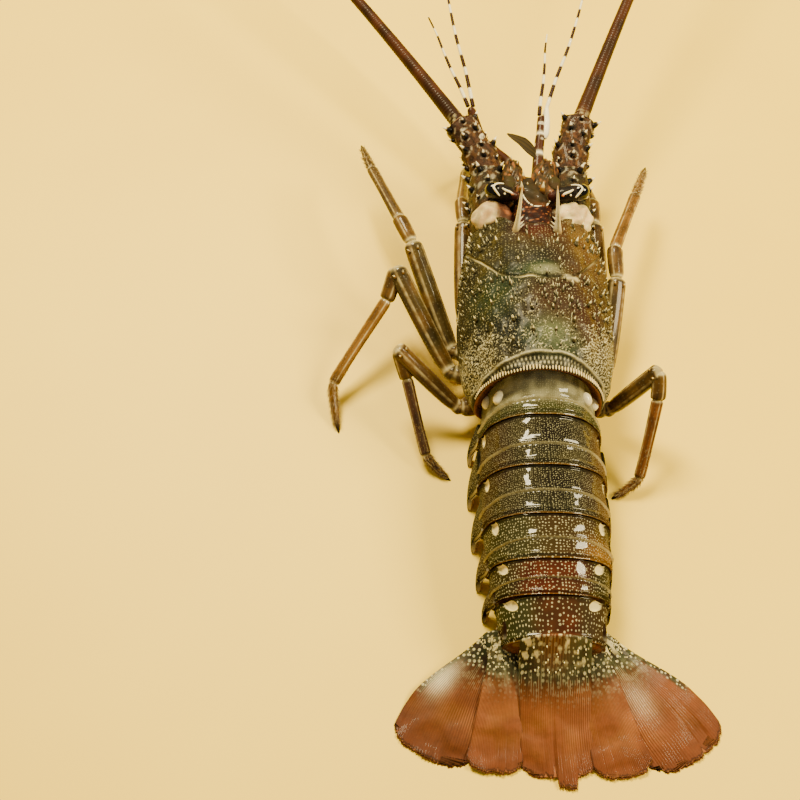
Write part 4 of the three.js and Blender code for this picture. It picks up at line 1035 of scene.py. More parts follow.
def swimmeret(shape, index, side):
    """A thin paddle under the belly, with a fringe of fine hairs."""
    end = SOMITES[index].end
    x = tail_middle(end) + side * 5.4
    foot = np.array([x, end + 6.5, ABDOMEN_FOOT + 1.4])
    tip = np.array([x + 0.6 * side, end - 7.5, 4.6])
    path = Path([foot, mix(foot, tip, 0.45) - UP * 1.6, tip])
    rings = [(0, 1.6, 0.9), (0.35, 1.9, 0.8), (0.6, 2.8, 0.5), (1.2, 3.6, 0.35), (1.7, 2.7, 0.3),
             (2, 0.6, 0.2)]
    paint = coated("underside", (0.3, 0, 0.4), ("rust", 0.35, (0.6, 1.8)), ("leg_olive", 0.4, 3, 70))
    shape.tube(path, rings, paint, sides=18, steps=26)
    places = np.linspace(0.8, 1.97, 26)
    point, way, across, _ = path.at(places)
    half = column(rings, 1)(places)[:, None]
    for edge in (-1, 1):
        shape.cones(point + across * edge * half * 0.95, way * 0.8 + across * edge, 1.5, 0.09,
                    [(0, 1, "gold"), (1, 0.2, "cream")], sides=3, sunk=0.1)


# Tail fan

# Each blade: the middle, half width, height and crest of its root, the bearings of its two edges, its reach,
# how far its web rests above the floor, how it bows, how dark it is, and where and how strongly a white
# highlight is painted on it
TELSON = {"x": 1.3, "y": ABDOMEN_BACK + 0.5, "root": 10.4, "lift": 15, "bow": 0, "crest": 9,
          "rest": 0.3, "from": -5.5, "to": 8.5, "reach": 33.8}
INNER = {"x": 12, "y": ABDOMEN_BACK + 3.5, "root": 4.5, "lift": 13, "bow": 0, "crest": 1, "rest": 0.75}
OUTER = {"x": 15, "y": ABDOMEN_BACK + 6, "root": 3.5, "lift": 11, "bow": 8, "crest": 0, "rest": 0}
BLADES = {
    ("inner", "left"): {**INNER, "from": -2, "to": 16, "reach": 36},
    ("outer", "left"): {**OUTER, "from": 16, "to": 48.5, "reach": 40, "dark": 0.72,
                        "wet": (0.47, 0.82, 0.85)},
    ("inner", "right"): {**INNER, "from": 5, "to": 24, "reach": 37.5},
    ("outer", "right"): {**OUTER, "from": 23.5, "to": 55.5, "reach": 43, "wet": (0.5, 0.3, 0.3)},
}
# The tab that juts out of the telson's edge: where it begins and ends across the blade, and how far it juts
TELSON_TAB = (0.5, 0.72, 0.09)
RAYS, FRINGE_HAIRS, ROOT_THORNS = 66, 900, 26
FRINGE_STOPS = ((0, 1, "brown"), (0.6, 0.6, "rust"), (1, 0.1, "rust"))


def blade_point(blade, across, along):
    """A point of a blade's plan."""
    bow = blade["bow"] * across * sin(math.pi * along)
    bearing = np.radians(mix(blade["from"], blade["to"], across) + bow * fade(0, 0.5, across))
    length = blade["reach"] * along * (1 - 0.09 * (2 * across - 1) ** 4)
    spread = mix(-blade["root"], blade["root"], across) * (1 - 0.35 * along)
    return blade["x"] + spread + sin(bearing) * length, blade["y"] - cos(bearing) * length


def fan_blade(shape, blade, side, seed, tab=None):
    """A blade: hard and dotted at its root, then a soft web with fine rays and a ragged edge."""
    rng = np.random.default_rng(seed)
    across = np.linspace(0, 1, 200)[None]
    along = np.concatenate([np.linspace(0, 0.35, 24), np.linspace(0.35, 1, 50)[1:]])[:, None]
    ragged = sum(rng.uniform(0.2, 1) * sin(across * rate + rng.uniform(0, 6)) for rate in (23, 47, 91, 160))
    notch = sum(bump(across, centre, 0.012) * depth for centre, depth in
                zip(rng.uniform(0.08, 0.92, 4), rng.uniform(0.4, 1.2, 4)))
    trim = (0.17 * ragged - notch) / blade["reach"]
    if tab:
        start, end, juts = tab
        trim = trim - 0.09 * bump(across, start - 0.05, 0.012) - 0.05 * bump(across, 0.8, 0.01)
        trim = trim + juts * fade(start - 0.03, start, across) * fade(end + 0.03, end, across)
    x, y = blade_point(blade, across, along * (1 + trim * along**3))
    fall = (1 - along) ** 1.6
    low = blade["lift"] * fall * 0.45
    thick = mix(0.55, 4 + blade["lift"] * 0.25, fall) + blade["crest"] * fall**3
    thick = thick * (0.35 + 0.65 * sin(math.pi * np.clip(mix(0.06, 0.94, across), 0, 1)) ** 0.35)
    web = fade(0.3, 0.42, along)
    wander = 0.03 * sin(along * 5 + seed) + across
    inner = fade(0.4, 1, across) if blade["bow"] == 0 else fade(0.6, 0, across)
    ray = (cos(wander * math.pi * RAYS) * 0.5 + 0.5) * size("ray_height") * web
    ray = ray * fade(0, 0.04, across) * fade(1, 0.96, across) * (0.25 + 0.75 * inner)
    swell = (clouds(vectors(x, y, 0.0), 9, seed) - 0.5) * 0.8 * fade(0.35, 0.8, along)

    def blade_face(face):
        z = low + face * (thick + ray) + swell * fade(0, 0.5, along)
        z = z + blade["rest"] * fade(0.15, 0.5, along)
        return vectors(side * x, y, np.maximum(z, 0.05 + 0.25 * face))

    top, bottom = blade_face(1), blade_face(0)
    spots = np.concatenate([top, bottom[:, ::-1]], 1)
    share = np.broadcast_to(np.concatenate([across, across[:, ::-1]], 1), spots.shape[:2])
    under = np.concatenate([np.zeros_like(across), np.ones_like(across)], 1)
    paint, marks = fan_paint(blade, share, np.broadcast_to(along, spots.shape[:2]), under, spots, seed)
    lie = vectors(spots[..., 0] / 1.5, spots[..., 1] / 1.5, 40 * under)
    if side > 0:
        spots, paint, marks, lie = (part[:, ::-1] for part in (spots, paint, marks, lie))
    shape.grid(spots[::-1], paint[::-1], marks[::-1], lie[::-1])
    fan_fringe(shape, top[-1], rng)
    fan_thorns(shape, top, rng)


def fan_paint(blade, across, along, under, spots, seed):
    """Dark and dotted at the root, rust orange beyond, with paler ray lines, a dark edge, a painted highlight
    on the outer blades and painted shade on the under face.
    """
    soft, small = clouds(spots, 9, seed + 3), clouds(spots, 2.6, seed + 4)
    outer = blade["bow"] > 0
    edge_strip = fade(0.86, 0.93, across) * fade(0.72, 0.6, along) if outer else 0
    ragged = 0.02 * sin(across * 60 + seed) + 0.025 * (small - 0.5)
    root = np.maximum(fade(0.31, 0.23, along + ragged), edge_strip)
    halo = fade(0.54, 0.27, along + ragged)
    lines = 0.5 + 0.5 * cos((across + 0.03 * sin(along * 5 + seed)) * math.pi * RAYS)
    paint = Paint(spots, "rust").over("brown", 0.12 + 0.2 * small)
    paint.over("gold", 0.3 * soft * fade(0.35, 0.7, along) * fade(1, 0.6, along))
    paint.over("red", 0.3 * fade(0.6, 0.97, along) * (0.5 + 0.5 * soft))
    paint.over("brown", 0.75 * halo).over("olive", 0.6 * halo * soft)
    inner = fade(0.5, 1, across) * (not outer) + fade(0.5, 0, across) * outer
    rays = lines * fade(0.2, 0.4, along) * fade(0.95, 0.6, along) * (0.25 + 0.75 * inner)
    paint.over("pink", 0.85 * rays * (0.4 + 0.6 * soft))
    paint.over("purple", 0.4 * (1 - lines) * inner * fade(0.95, 0.4, along))
    paint.over("claw", 0.85 * fade(0.972, 0.99, along)).over("pink", 0.5 * fade(0.994, 1, along))
    seam = np.minimum(across, 1 - across)
    paint.over("claw", 0.5 * fade(0.03, 0.0, seam) * fade(0.3, 0.5, along))
    paint.over("dark", 0.8 * root).over("olive", 0.8 * root * soft)
    paint.over("green", 0.4 * root * small).over("speck", 0.06 * root * soft)
    streak = fade(0.6, 0.9, cos(across * 190) * 0.5 + 0.5) * fade(0.3, 0.7, small)
    streak = streak * fade(0.16, 0.26, along) * fade(0.46, 0.32, along)
    paint.over("speck", 0.45 * streak * (0.4 + 0.6 * soft))
    if blade is TELSON:
        streaks = 0.5 + 0.5 * cos(across * 150)
        middle = bump(across, 0.45, 0.2) * fade(0.3, 0.05, along)
        paint.over("rust", 0.85 * middle * (0.6 + 0.4 * streaks))
        paint.over("cream", 0.15 * middle * fade(0.8, 1, streaks))
    blots = fade(0.82, 0.88, clouds(spots * (1, 1, 0.4), 2.6, seed + 7)) * fade(0.2, 0.1, along)
    paint.over("cream", 0.9 * blots)
    # Painted highlight: a white sheen streaked by the rays on the outer blades; then painted shade darkens
    # the under face
    sheen_along, sheen_across, wet = blade.get("wet", (0, 0, 0))
    sheen = wet * bump(along, sheen_along, 0.13) * bump(across, sheen_across, 0.17)
    paint.shade(blade.get("dark", 1)).over("white", sheen * (0.3 + 0.7 * lines)).shade(mix(1, 0.82, under))
    dots = root * (0.95 - 0.7 * (blade is TELSON) * bump(across, 0.45, 0.2)) + 0.15 * halo * (1 - root)
    speckle = 0.15 * fade(0.24, 0.3, along) * fade(0.42, 0.34, along) * small
    marks = vectors(dots * (1 - 0.6 * under), speckle, 0.2 + 0.25 * fade(0.4, 0.7, along))
    return paint.tint, marks


def fan_fringe(shape, edge, rng):
    """Short dark hairs along the outer edge of a blade."""
    number = FRINGE_HAIRS
    place = np.sort(rng.uniform(0, len(edge) - 1.001, number))
    index = place.astype(int)
    feet = mix(edge[index], edge[index + 1], (place - index)[:, None])
    along = edge[-1] - edge[0]
    outward = unit((along[1], -along[0], 0))
    outward = outward if outward[1] < 0 else -outward
    ways = outward + rng.normal(0, 0.12, (number, 3)) * (1, 1, 0.3)
    lengths = size("fringe_length") * rng.uniform(0.4, 1, number)
    feet[:, 2] -= 0.25
    shape.cones(feet, ways, lengths, 0.06, FRINGE_STOPS, sides=3, sunk=0.5)


def fan_thorns(shape, top, rng):
    """Short thorns on the hard root of a blade, pointing back."""
    number = ROOT_THORNS
    rows = rng.integers(4, 15, number)
    columns = rng.integers(14, top.shape[1] - 14, number)
    feet = top[rows, columns]
    stops = spine_stops("dark", "cream", "cream")
    shape.cones(feet, (0, -1, 0.45), rng.uniform(0.5, 1.0, number), 0.3, stops, sides=7, sunk=0.5)


# Head

EYES = {"left": np.array([-13.5, 69.1, 38.2]), "right": np.array([16.2, 68.8, 38.2])}
EYE_RADIUS = 3.0
STALK_FOOT = (5.6, 67.3, 37.3)
EYE_FRONT, EYE_TOP = unit((0, -0.69, 0.72)), unit((0, 0.72, 0.69))
# White lines of an eye: places inward and up in the plane EYE_FRONT faces, radius and colour
EYE_LINES = [
    ([(3.3, 2.4), (1.4, 2.45), (0, 1.95), (-0.4, 1.1), (0.2, 0.12), (1.1, -1.0), (1.75, -1.75)],
     0.35, "white"),
    ([(2.65, 0.85), (4.0, 0.1), (5.3, -0.4), (6.3, -0.9)], 0.4, "white"),
    ([(6.4, -0.9), (6.2, -1.5)], 0.5, "pink"), ([(-2.6, -1.2), (-2.1, -2.0)], 0.45, "cream"),
    ([(3.3, -1.0), (3.8, -1.1)], 0.34, "white"),
]
# The antennular plate: y, half width, lower and upper side
PLATE_RINGS = [(44, 7.4, 17, 38.5), (58, 7.3, 17, 38), (66, 7.5, 17, 36.6), (78, 6.9, 17, 35),
               (84, 5, 19, 31)]
# Its spines on each side: x, y and length
PLATE_SPINES = ((3.6, 71.5, 3.4), (2.6, 78.5, 2.8), (5.2, 76, 1.6), (1.4, 74.5, 1.2))


def plate_ridge(x):
    """Where the curved ridge of the plate runs."""
    return 62.8 + 0.12 * (x - 1.6) ** 2 + 0.006 * (x - 1.6) ** 4


def antennular_plate(shape):
    """The plate between the antennae, with its curved ridge, its lobes and its spines."""
    y = np.linspace(44, 84, 110)[:, None]
    around = turns(140)[None]
    half, low, high = (column(PLATE_RINGS, index)(y) for index in (1, 2, 3))
    spread, rise = signed_power(sin(around), 0.6), signed_power(cos(around), 0.6)
    spots = vectors(half * spread, y, (low + high) / 2 + (high - low) / 2 * rise)
    x = spots[..., 0]
    curve = spots[..., 1] - plate_ridge(x)
    top = np.clip(rise * 4, 0, 1)
    ridge = bump(curve, 0, 0.35)
    relief = 0.4 * ridge - 0.5 * fade(0.2, 2.5, curve) * fade(9, 5, curve) * bump(x, 1.5, 4)
    relief = relief + (clouds(spots, 3, 80) - 0.5) * 0.35 - 1.6 * fade(80, 84, y)
    spots = spots + normals(spots) * (top * relief)[..., None]
    paint = Paint(spots, "brown").over("olive", 0.3 + 0.4 * clouds(spots, 4, 81))
    paint.over("dark", 0.3 + 0.5 * clouds(spots, 3, 84))
    behind = fade(0.5, -0.5, curve)
    paint.over("red", 0.9 * behind).over("black", 0.5 * behind + 0.4 * behind * clouds(spots, 3, 82))
    paint.over("rust", 0.3 * bump(curve, 1.6, 1.4) * bump(x, 2, 3))
    paint.over("pink", 0.6 * behind * fade(0.93, 0.98, clouds(spots, 1.4, 83)))
    paint.over("underside", fade(-0.2, -0.6, rise))
    lie = vectors(around * 6, y, 0.0)
    shape.grid(spots, paint.tint, vectors(0.05 * behind, 0.0, 0.4), lie)
    plate_line(shape)
    for side, wide, inward in ((-1, 3.8, 6.2), (1, 5, 5)):
        plate_lobe(shape, side, wide, inward)
    for side in SIDES.values():
        for x, y, tall in PLATE_SPINES:
            foot = (side * x, y, column(PLATE_RINGS, 3)(y) - 0.3)
            shape.cones(foot, (0.1 * side, 0.6, 1), tall, 0.3 * tall + 0.15,
                        spine_stops("brown", "gold", "cream"), sides=12)


def plate_line(shape):
    """The white line along the curved ridge."""
    ridge_x = np.linspace(-3.9, 7.1, 13)
    ridge_y = plate_ridge(ridge_x)
    half, low, high = (column(PLATE_RINGS, index)(ridge_y) for index in (1, 2, 3))
    aside = np.clip(abs(ridge_x) / half, 0, 0.84) ** (1 / 0.6)
    ridge_z = (low + high) / 2 + (high - low) / 2 * (1 - aside**2) ** 0.3
    line = [(0, 0.1, 0.1), (1, 0.3, 0.3), (11, 0.3, 0.3), (12, 0.1, 0.1)]
    shape.tube(Path(np.stack([ridge_x, ridge_y, ridge_z], 1)), line, coated("white"), sides=8, steps=80)


def plate_lobe(shape, side, wide, inward):
    """Where the plate reaches down beside the antennules, against the root of an antenna."""
    path = Path(mirrored([(8.5, 68, 31), (inward, 77, 33), (6.4, 88, 33.4)], side))
    rings = [(0, wide, 4), (1, wide, 4.2), (1.6, 0.8 * wide, 3.6), (1.9, 0.5 * wide, 2.4), (2, 0.2 * wide, 1)]

    def lobe_paint(place, around, spots):
        small = clouds(spots, 2, 86)
        paint = Paint(spots, "brown").over("purple", 0.5).over("dark", 0.8 * clouds(spots, 3, 84))
        paint.over("olive", 0.7 * clouds(spots, 5, 87)).over("gold", 0.25 * fade(0.55, 0.8, small))
        return paint.over("pink", 0.35 * fade(0.85, 0.95, small)).tint, (0.08, 0, 0.6)

    def lobe_swell(place, around):
        return 0.35 * sin(around * 4 + place * 5) + 0.25 * sin(around * 9 - place * 11)

    shape.tube(path, rings, lobe_paint, sides=60, steps=50, swell=lobe_swell)
    at, way, across, lift = path.at([0.9, 1.25, 1.55, 1.7])
    feet = at + lift * 3.6 + across * [[1.5], [-1.2], [1.4], [-0.6]]
    shape.cones(feet, lift + way, [1.6, 2.2, 1.5, 2.0], 0.55, spine_stops("brown", "gold", "cream"),
                sides=10, sunk=0.5)


def eyeball(shape, name):
    """A glossy black eye."""
    centre = EYES[name]
    axis = unit(mirrored(STALK_FOOT, SIDES[name]) - centre)
    right = unit(np.cross(axis, UP))
    upper = np.cross(right, axis)
    tilt = np.linspace(0, math.pi, 42)[1:-1, None]
    turn = turns(64, 0)[None]
    ball = (cos(tilt)[..., None] * axis * 1.12 + (sin(tilt) * cos(turn))[..., None] * upper
            + (sin(tilt) * sin(turn))[..., None] * right)
    spots = centre + ball * EYE_RADIUS
    paint = Paint(spots, "black").shade(0.45).over("claw", 0.25 * fade(0.4, 0.8, cos(tilt)))
    shape.grid(spots[::-1], paint.tint[::-1])


def eye_lines(shape, name):
    """The white hook over an eye, the stripe on its stalk and the pale spots beside them."""
    side, centre = SIDES[name], EYES[name]
    foot = mirrored(STALK_FOOT, side)
    reach = np.linalg.norm(foot - centre)
    for line, radius, tint in EYE_LINES:
        points = []
        for inward, upward in line:
            axis = mix(centre, foot, np.clip(inward / reach, 0, 1))
            aside = upward - (axis - centre) @ EYE_TOP
            outward = min(inward, 0) * side * -1
            lift = math.sqrt(max(EYE_RADIUS**2 - aside**2 - outward**2, 0.1))
            points.append(axis + EYE_TOP * aside + EYE_FRONT * lift + (outward, 0, 0))
        spans = len(points) - 1
        rings = [(spans * share, radius * wide, radius * wide)
                 for share, wide in ((0, 0.6), (0.25, 1), (0.8, 1), (1, 0.6))]
        shape.tube(Path(points, 0.45), rings, coated(tint, (0, 0, 0.2)), sides=10, steps=12 * spans)


def eyestalk(shape, name):
    """The dark stalk that carries an eye, and the smooth lobe ahead of its foot."""
    foot = mirrored(STALK_FOOT, SIDES[name])
    rings = [(0, 1.3, 1.3), (0.2, 1.9, 1.9), (0.42, 2.75, 2.7), (0.7, 2.85, 2.8), (1, 2.75, 2.75)]
    paint = coated("black", (0, 0, 0), ("purple", 0.2, 2, 90), ("red", 0.8, (0.3, 0.1)))
    shape.tube(Path([foot, EYES[name]]), rings, paint, sides=36, steps=24)
    lobe = mirrored((7.9, 74.6, 36.6), SIDES[name])
    rings = [(0, 1, 0.8), (0.25, 1.8, 1.2), (0.6, 2.1, 1.4), (0.85, 1.5, 1.0), (1, 0.5, 0.4)]
    paint = coated("olive", (0, 0, 0.9), ("purple", 0.5, 3, 91))
    shape.tube(Path([lobe - (0, 2.6, 0.8), lobe + (0, 3, 0)]), rings, paint, sides=30, steps=24)


def eye_socket(shape, side):
    """The soft pale skin between the eye and the front edge of the carapace."""
    tilt = np.linspace(0.06, math.pi - 0.06, 34)[:, None]
    turn = turns(60, 0)[None]
    ball = vectors(cos(tilt), sin(tilt) * cos(turn), sin(tilt) * sin(turn))
    spots = mirrored(ball * (7.2, 6.8, 5.0) + (13.6, 61.4, 32), side)
    spots = spots + unit(ball) * ((clouds(spots, 3.6, 95) - 0.5) * 1.3)[..., None]
    x = abs(spots[..., 0])
    paint = Paint(spots, "cream").over("pink", 0.1 + 0.4 * clouds(spots, 4, 96))
    if side < 0:
        paint.over("gold", 0.25).over("olive", 0.35 * clouds(spots, 3, 98))
        paint.over("red", 0.95 * fade(14.4, 11.4, x)).over("purple", 0.4 * fade(13, 10, x))
        # Painted highlight: a small pink spot inside the dark red hollow
        paint.over("pink", 0.4 * near(spots, (-9, 61.5, 35), (1.5, 1, 2.4), 0.6))
    paint.over("red", 0.9 * fade(8.6, 7.4, x)).over("black", 0.5 * fade(9, 7, x))
    paint.over("rust", 0.5 * near(spots, (15, 61.4, 36), (2.4, 2.2, 3), 1.0))
    order = slice(None, None, side)
    shape.grid(spots[:, order], paint.tint[:, order], (0.0, 0.0, 0.35))


# Antennae

# Bearings of the middle segment, the wrist and the lash
ANTENNA = {"left": (20, 33, 37), "right": (8, 16, 21)}
BASE_START, BASE_END = (14.2, 52, 23), (14.6, 87, 27.5)
SEGMENTS = {
    "base": [(0, 6.9, 10), (0.45, 7.2, 9.6), (0.8, 7.2, 7.6), (0.93, 6.9, 6.9), (1, 6.2, 6)],
    "middle": [(0, 5.5, 5.2), (0.1, 5.9, 5.5), (0.5, 6.2, 5.7), (0.86, 6.7, 6), (0.95, 6.3, 5.7),
               (1, 5.3, 4.9)],
    "wrist": [(0, 4.9, 4.6), (0.1, 5.2, 4.8), (0.5, 5.5, 5), (0.82, 6.1, 5.5), (0.94, 5.8, 5.2),
              (1, 4.6, 4.3)],
}
# The segments' spines: place, angle and length
SEGMENT_SPINES = {
    "base": [(0.95, -35, 3), (0.93, 30, 3.2), (0.9, 85, 3.4), (0.75, 5, 2), (0.7, 60, 2.6), (0.62, 95, 2.8),
             (0.5, 75, 2.4), (0.55, 35, 1.6), (0.82, -60, 1.8), (0.4, 95, 1.6)],
    "middle": [(0.9, -50, 2.8), (0.92, 55, 3), (0.5, 5, 2.2), (0.45, 95, 2.4), (0.85, 0, 1.8), (0.3, 50, 1.4),
               (0.35, -40, 1.5), (0.7, 120, 1.8)],
    "wrist": [(0.86, -60, 2.8), (0.86, 70, 3), (0.5, -20, 2.4), (0.42, 35, 2.2), (0.6, 95, 2), (0.8, 10, 1.6),
              (0.3, -70, 1.5)],
}
SEGMENT_SPINE_STOPS = ((0, 1, "black"), (0.3, 0.78, "black"), (0.42, 0.62, "purple"), (0.6, 0.42, "white"),
                       (0.85, 0.18, "white"), (1, 0.03, "white"))


def antenna_joints(name):
    """The ends of an antenna's stout segments."""
    side = SIDES[name]
    middle, wrist, _ = ANTENNA[name]
    start, elbow = mirrored(BASE_START, side), mirrored(BASE_END, side)
    bend = elbow + heading(side, middle, 14) * 11
    return [start, elbow, bend, bend + heading(side, wrist, 14) * 12.5]


def antenna_segment(shape, name, part):
    """A stout segment with black-ringed, white-tipped spines and a soft pale joint behind it."""
    side = SIDES[name]
    number = list(SEGMENTS).index(part)
    start, end = antenna_joints(name)[number:number + 2]
    path = Path([start, end])
    rings = SEGMENTS[part]
    places, degrees, heights = np.array(SEGMENT_SPINES[part]).T
    feet, out, way = on_limb(path, rings, places, side * np.radians(degrees))
    spines = list(zip(feet, unit(out + way * 0.7), heights))

    def segment_paint(place, around, spots):
        soft, small = clouds(spots, 6, 100 + number), clouds(spots, 2.2, 101)
        paint = Paint(spots, "purple" if number else "olive").over("brown", 0.5 * soft)
        paint.over("purple", 0.5 * soft * (not number)).over("gold", 0.3 * small * fade(0.35, 0.7, soft))
        paint.over("rust", 0.15 * fade(0.75, 0.95, clouds(spots, 4, 102)))
        paint.over("dark", 0.5 * fade(0.45, 0.2, small)).over("pink", 0.2 * fade(0.96, 0.99, place))
        paint.over("underside", fade(-0.35, -0.75, cos(around)))
        paint.over("white", (0.6 if number else 0.35) * fade(0.97, 0.995, clouds(spots, 4, 103)))
        paint.shade(1 if number else 0.58)
        for foot, _, tall in spines:
            ring = np.linalg.norm(spots - foot, axis=-1) / (0.72 * tall)
            paint.over("black", 0.92 * fade(1.05, 0.75, ring))
            paint.over("white", 0.35 * bump(ring, 1.15, 0.13) * fade(0.4, 0.7, small))
        return paint.tint, (0 if number else 0.2, 0, 0.4)

    def segment_swell(place, around):
        ring = 0.22 * bump(place, 0.955, 0.02) - 0.3 * bump(place, 0.9, 0.015)
        return ring + 0.1 * sin(around * 7 + place * 9)

    shape.tube(path, rings, segment_paint, sides=84, steps=64, swell=segment_swell, spacing=0.9)
    for foot, way, tall in spines:
        shape.cones(foot, way, tall, 0.3 * tall + 0.25, SEGMENT_SPINE_STOPS, sides=14, sunk=0.35)
    rng = np.random.default_rng(50 + number)
    bristles = 150
    place, turn = rng.uniform(0.1, 0.95, bristles), rng.uniform(-1.8, 1.8, bristles)
    feet, out, way = on_limb(path, rings, place, turn)
    shape.cones(feet, out + way, rng.uniform(0.5, 1.3, bristles), 0.11,
                [(0, 1, "purple"), (0.6, 0.7, "brown"), (1, 0.2, "gold")], sides=4)
    if number:
        way = unit(end - start)
        rings = [(0, 3.6, 3.6), (0.5, 4.2, 4.0), (1, 3.6, 3.6)]
        shape.tube(Path([start - way * 1.6, start + way * 1.4]), rings,
                   coated("brown", (0, 0, 0.4)), sides=32, steps=8)


def lash(shape, name):
    """The long stiff lash, ringed all along and set with tiny spines."""
    side = SIDES[name]
    steps = 22
    points = [antenna_joints(name)[-1]]
    for index in range(steps):
        share = index / (steps - 1)
        way = heading(side, ANTENNA[name][2] + 12 * share * share, mix(14, 2, share))
        points.append(points[-1] + way * LASH_LENGTH / steps)
    points[0] = points[0] + unit(points[1] - points[0]) * 0.3
    path = Path(points)
    rings = [(index, mix(LASH_ROOT, LASH_TIP, (index / steps) ** 0.75)) for index in range(steps + 1)]
    rings = [(place, radius, radius) for place, radius in rings]
    per_ring = size("ring_spacing") / (LASH_LENGTH / steps)

    def rings_swell(place, around):
        phase = (place / per_ring) % 1
        thin = mix(1, 0.25, place / steps)
        return thin * (0.16 * fade(0, 0.75, phase) - 0.16 * fade(0.85, 1, phase)) - 0.05

    def lash_paint(place, around, spots):
        phase = (place / per_ring) % 1
        paint = Paint(spots, "lash").over("black", 0.35 * clouds(spots, 18, 110))
        paint.over("rust", 0.25 * clouds(spots, 9, 111)).over("black", 0.4 * bump(phase, 0.95, 0.1))
        paint.over("brown", 0.4 * fade(6, 20, place))
        paint.over("cream", 0.5 * fade(0.5, 0.1, place) * fade(0.6, 0.8, clouds(spots, 2, 112)))
        return paint.tint, (0, 0, 0.3)

    shape.tube(path, rings, lash_paint, sides=16, steps=860, swell=rings_swell)
    rng = np.random.default_rng(9 + side)
    place = rng.uniform(0.15, steps - 1, 340)
    feet, out, way = on_limb(path, rings, place, rng.uniform(0, 2 * math.pi, len(place)))
    lengths = 0.25 + 0.35 * column(rings, 1)(place) / LASH_ROOT
    shape.cones(feet, out + way * 0.9, lengths, 0.11, [(0, 1, "lash"), (1, 0.1, "gold")], sides=4, sunk=0.5)


# Antennules

# The joints of their stems
STEMS = {
    "left": [(3, 83, 24), (5.5, 97, 23), (15.5, 106, 26), (20.6, 117, 32)],
    "right": [(3.3, 83, 27), (4, 95.5, 30), (4.8, 103, 32.5), (5.6, 110.5, 34)],
}
# Their branches: bearing, rise and length
BRANCHES = {
    ("left", "outer"): (22, 17, 42), ("left", "inner"): (11, 16, 78),
    ("right", "outer"): (17, 13, 80), ("right", "inner"): (6, 16, 36),
}
STEM_RINGS = [(0, 2.4, 2.2), (0.9, 1.95, 1.85), (1, 1.7, 1.6), (1.1, 1.8, 1.7), (1.9, 1.65, 1.6),
              (2, 1.35, 1.3), (2.1, 1.55, 1.5), (2.9, 1.6, 1.4), (3, 1.2, 1.1)]
FLAP = [(3.8, 93.5, 29.6), (1.2, 94.6, 32.6), (-2.5, 96.4, 35.4), (-7.8, 99.6, 36)]
FLAP_RINGS = [(0, 1.1, 0.5), (0.4, 1.6, 0.22), (0.8, 2.2, 0.18), (1.5, 2.6, 0.16), (2.4, 1.7, 0.16),
              (3, 0.3, 0.12)]
SHOOT = [(6.4, 101.5, 32), (7.2, 108, 34), (7.3, 113.5, 35.4)]
SHOOT_RINGS = [(0, 0.7, 0.7), (0.3, 1.35, 1.2), (1, 1.25, 1.1), (2, 0.8, 0.75)]
BRANCH_STEPS, BAND_LENGTH = 5, 9.5


def antennule_stem(shape, name):
    """The three slim joints of an antennule, and on the right the thin flap and the white shoot on it."""
    path = Path(mirrored(STEMS[name], SIDES[name]))

    def stem_paint(place, around, spots):
        paint = Paint(spots, "brown").over("red", 0.55).over("black", 0.35 * clouds(spots, 5, 120))
        joint = np.maximum(bump(place, 1, 0.1), bump(place, 2, 0.1))
        paint.over("white", 0.95 * joint).over("white", 0.5 * fade(0.93, 0.99, clouds(spots, 3, 121)))
        return paint.tint, (0, 0, 0.2)

    shape.tube(path, STEM_RINGS, stem_paint, sides=24, steps=90)

    def flap_paint(place, around, spots):
        paint = Paint(spots, "leg_olive").over("dark", 0.45 + 0.35 * cos(around * 9 + place * 3))
        return paint.over("claw", 0.5 * fade(0.6, 0.9, abs(sin(around)))).tint, (0, 0, 0.9)

    if name == "right":
        shape.tube(Path(FLAP), FLAP_RINGS, flap_paint, sides=28, steps=36)
        shape.tube(Path(SHOOT), SHOOT_RINGS, coated("white"), steps=30)


def antennule_lash(shape, name, branch):
    """A slim ringed branch, banded dark and white."""
    side = SIDES[name]
    bearing, rise, length = BRANCHES[name, branch]
    x, y, z = STEMS[name][3]
    split = 0.95 if branch == "outer" else -0.95
    points = [np.array([side * (x + split), y + 0.9, z + 0.2])]
    step = length / BRANCH_STEPS
    for index in range(BRANCH_STEPS):
        way = heading(side, bearing + 3 * math.sin(index * 1.7), rise - index)
        points.append(points[-1] + way * length / BRANCH_STEPS)
    radii = ((share, mix(0.78, 0.28, share)) for share in np.linspace(0, 1, 9))
    rings = [(share * BRANCH_STEPS, radius, radius) for share, radius in radii]
    band = BAND_LENGTH / step

    def band_paint(place, around, spots):
        phase = (place / band + 0.15) % 1
        pale = fade(0.5, 0.56, phase) * fade(1, 0.94, phase)
        paint = Paint(spots, "red").over("black", 0.6)
        whole = fade(band * 0.6, band * 0.5, place) if (name, branch) == ("right", "outer") else 0
        return paint.over("white", np.maximum(pale, whole) * 0.95).tint, (0, 0, 0.3)

    def fine_rings(place, around):
        return 0.05 * sin(place * length / BRANCH_STEPS * 2 * math.pi / 0.9)

    shape.tube(Path(points), rings, band_paint, sides=12, steps=int(length * 4.5), swell=fine_rings)


# Mouth legs and sternum

MOUTH_LEG = [(6.5, 40, 8.3), (7.2, 57, 8), (6.2, 70, 7.5), (4, 80, 8.5)]
MOUTH_LEG_RINGS = [(0, 2.8, 2.6), (0.5, 2.9, 2.6), (0.93, 2.9, 2.6), (1, 2.2, 2.1), (1.08, 2.6, 2.4),
                   (1.9, 2.5, 2.2), (2, 1.8, 1.7), (2.1, 2.1, 1.9), (2.6, 1.7, 1.5), (3, 0.6, 0.6)]


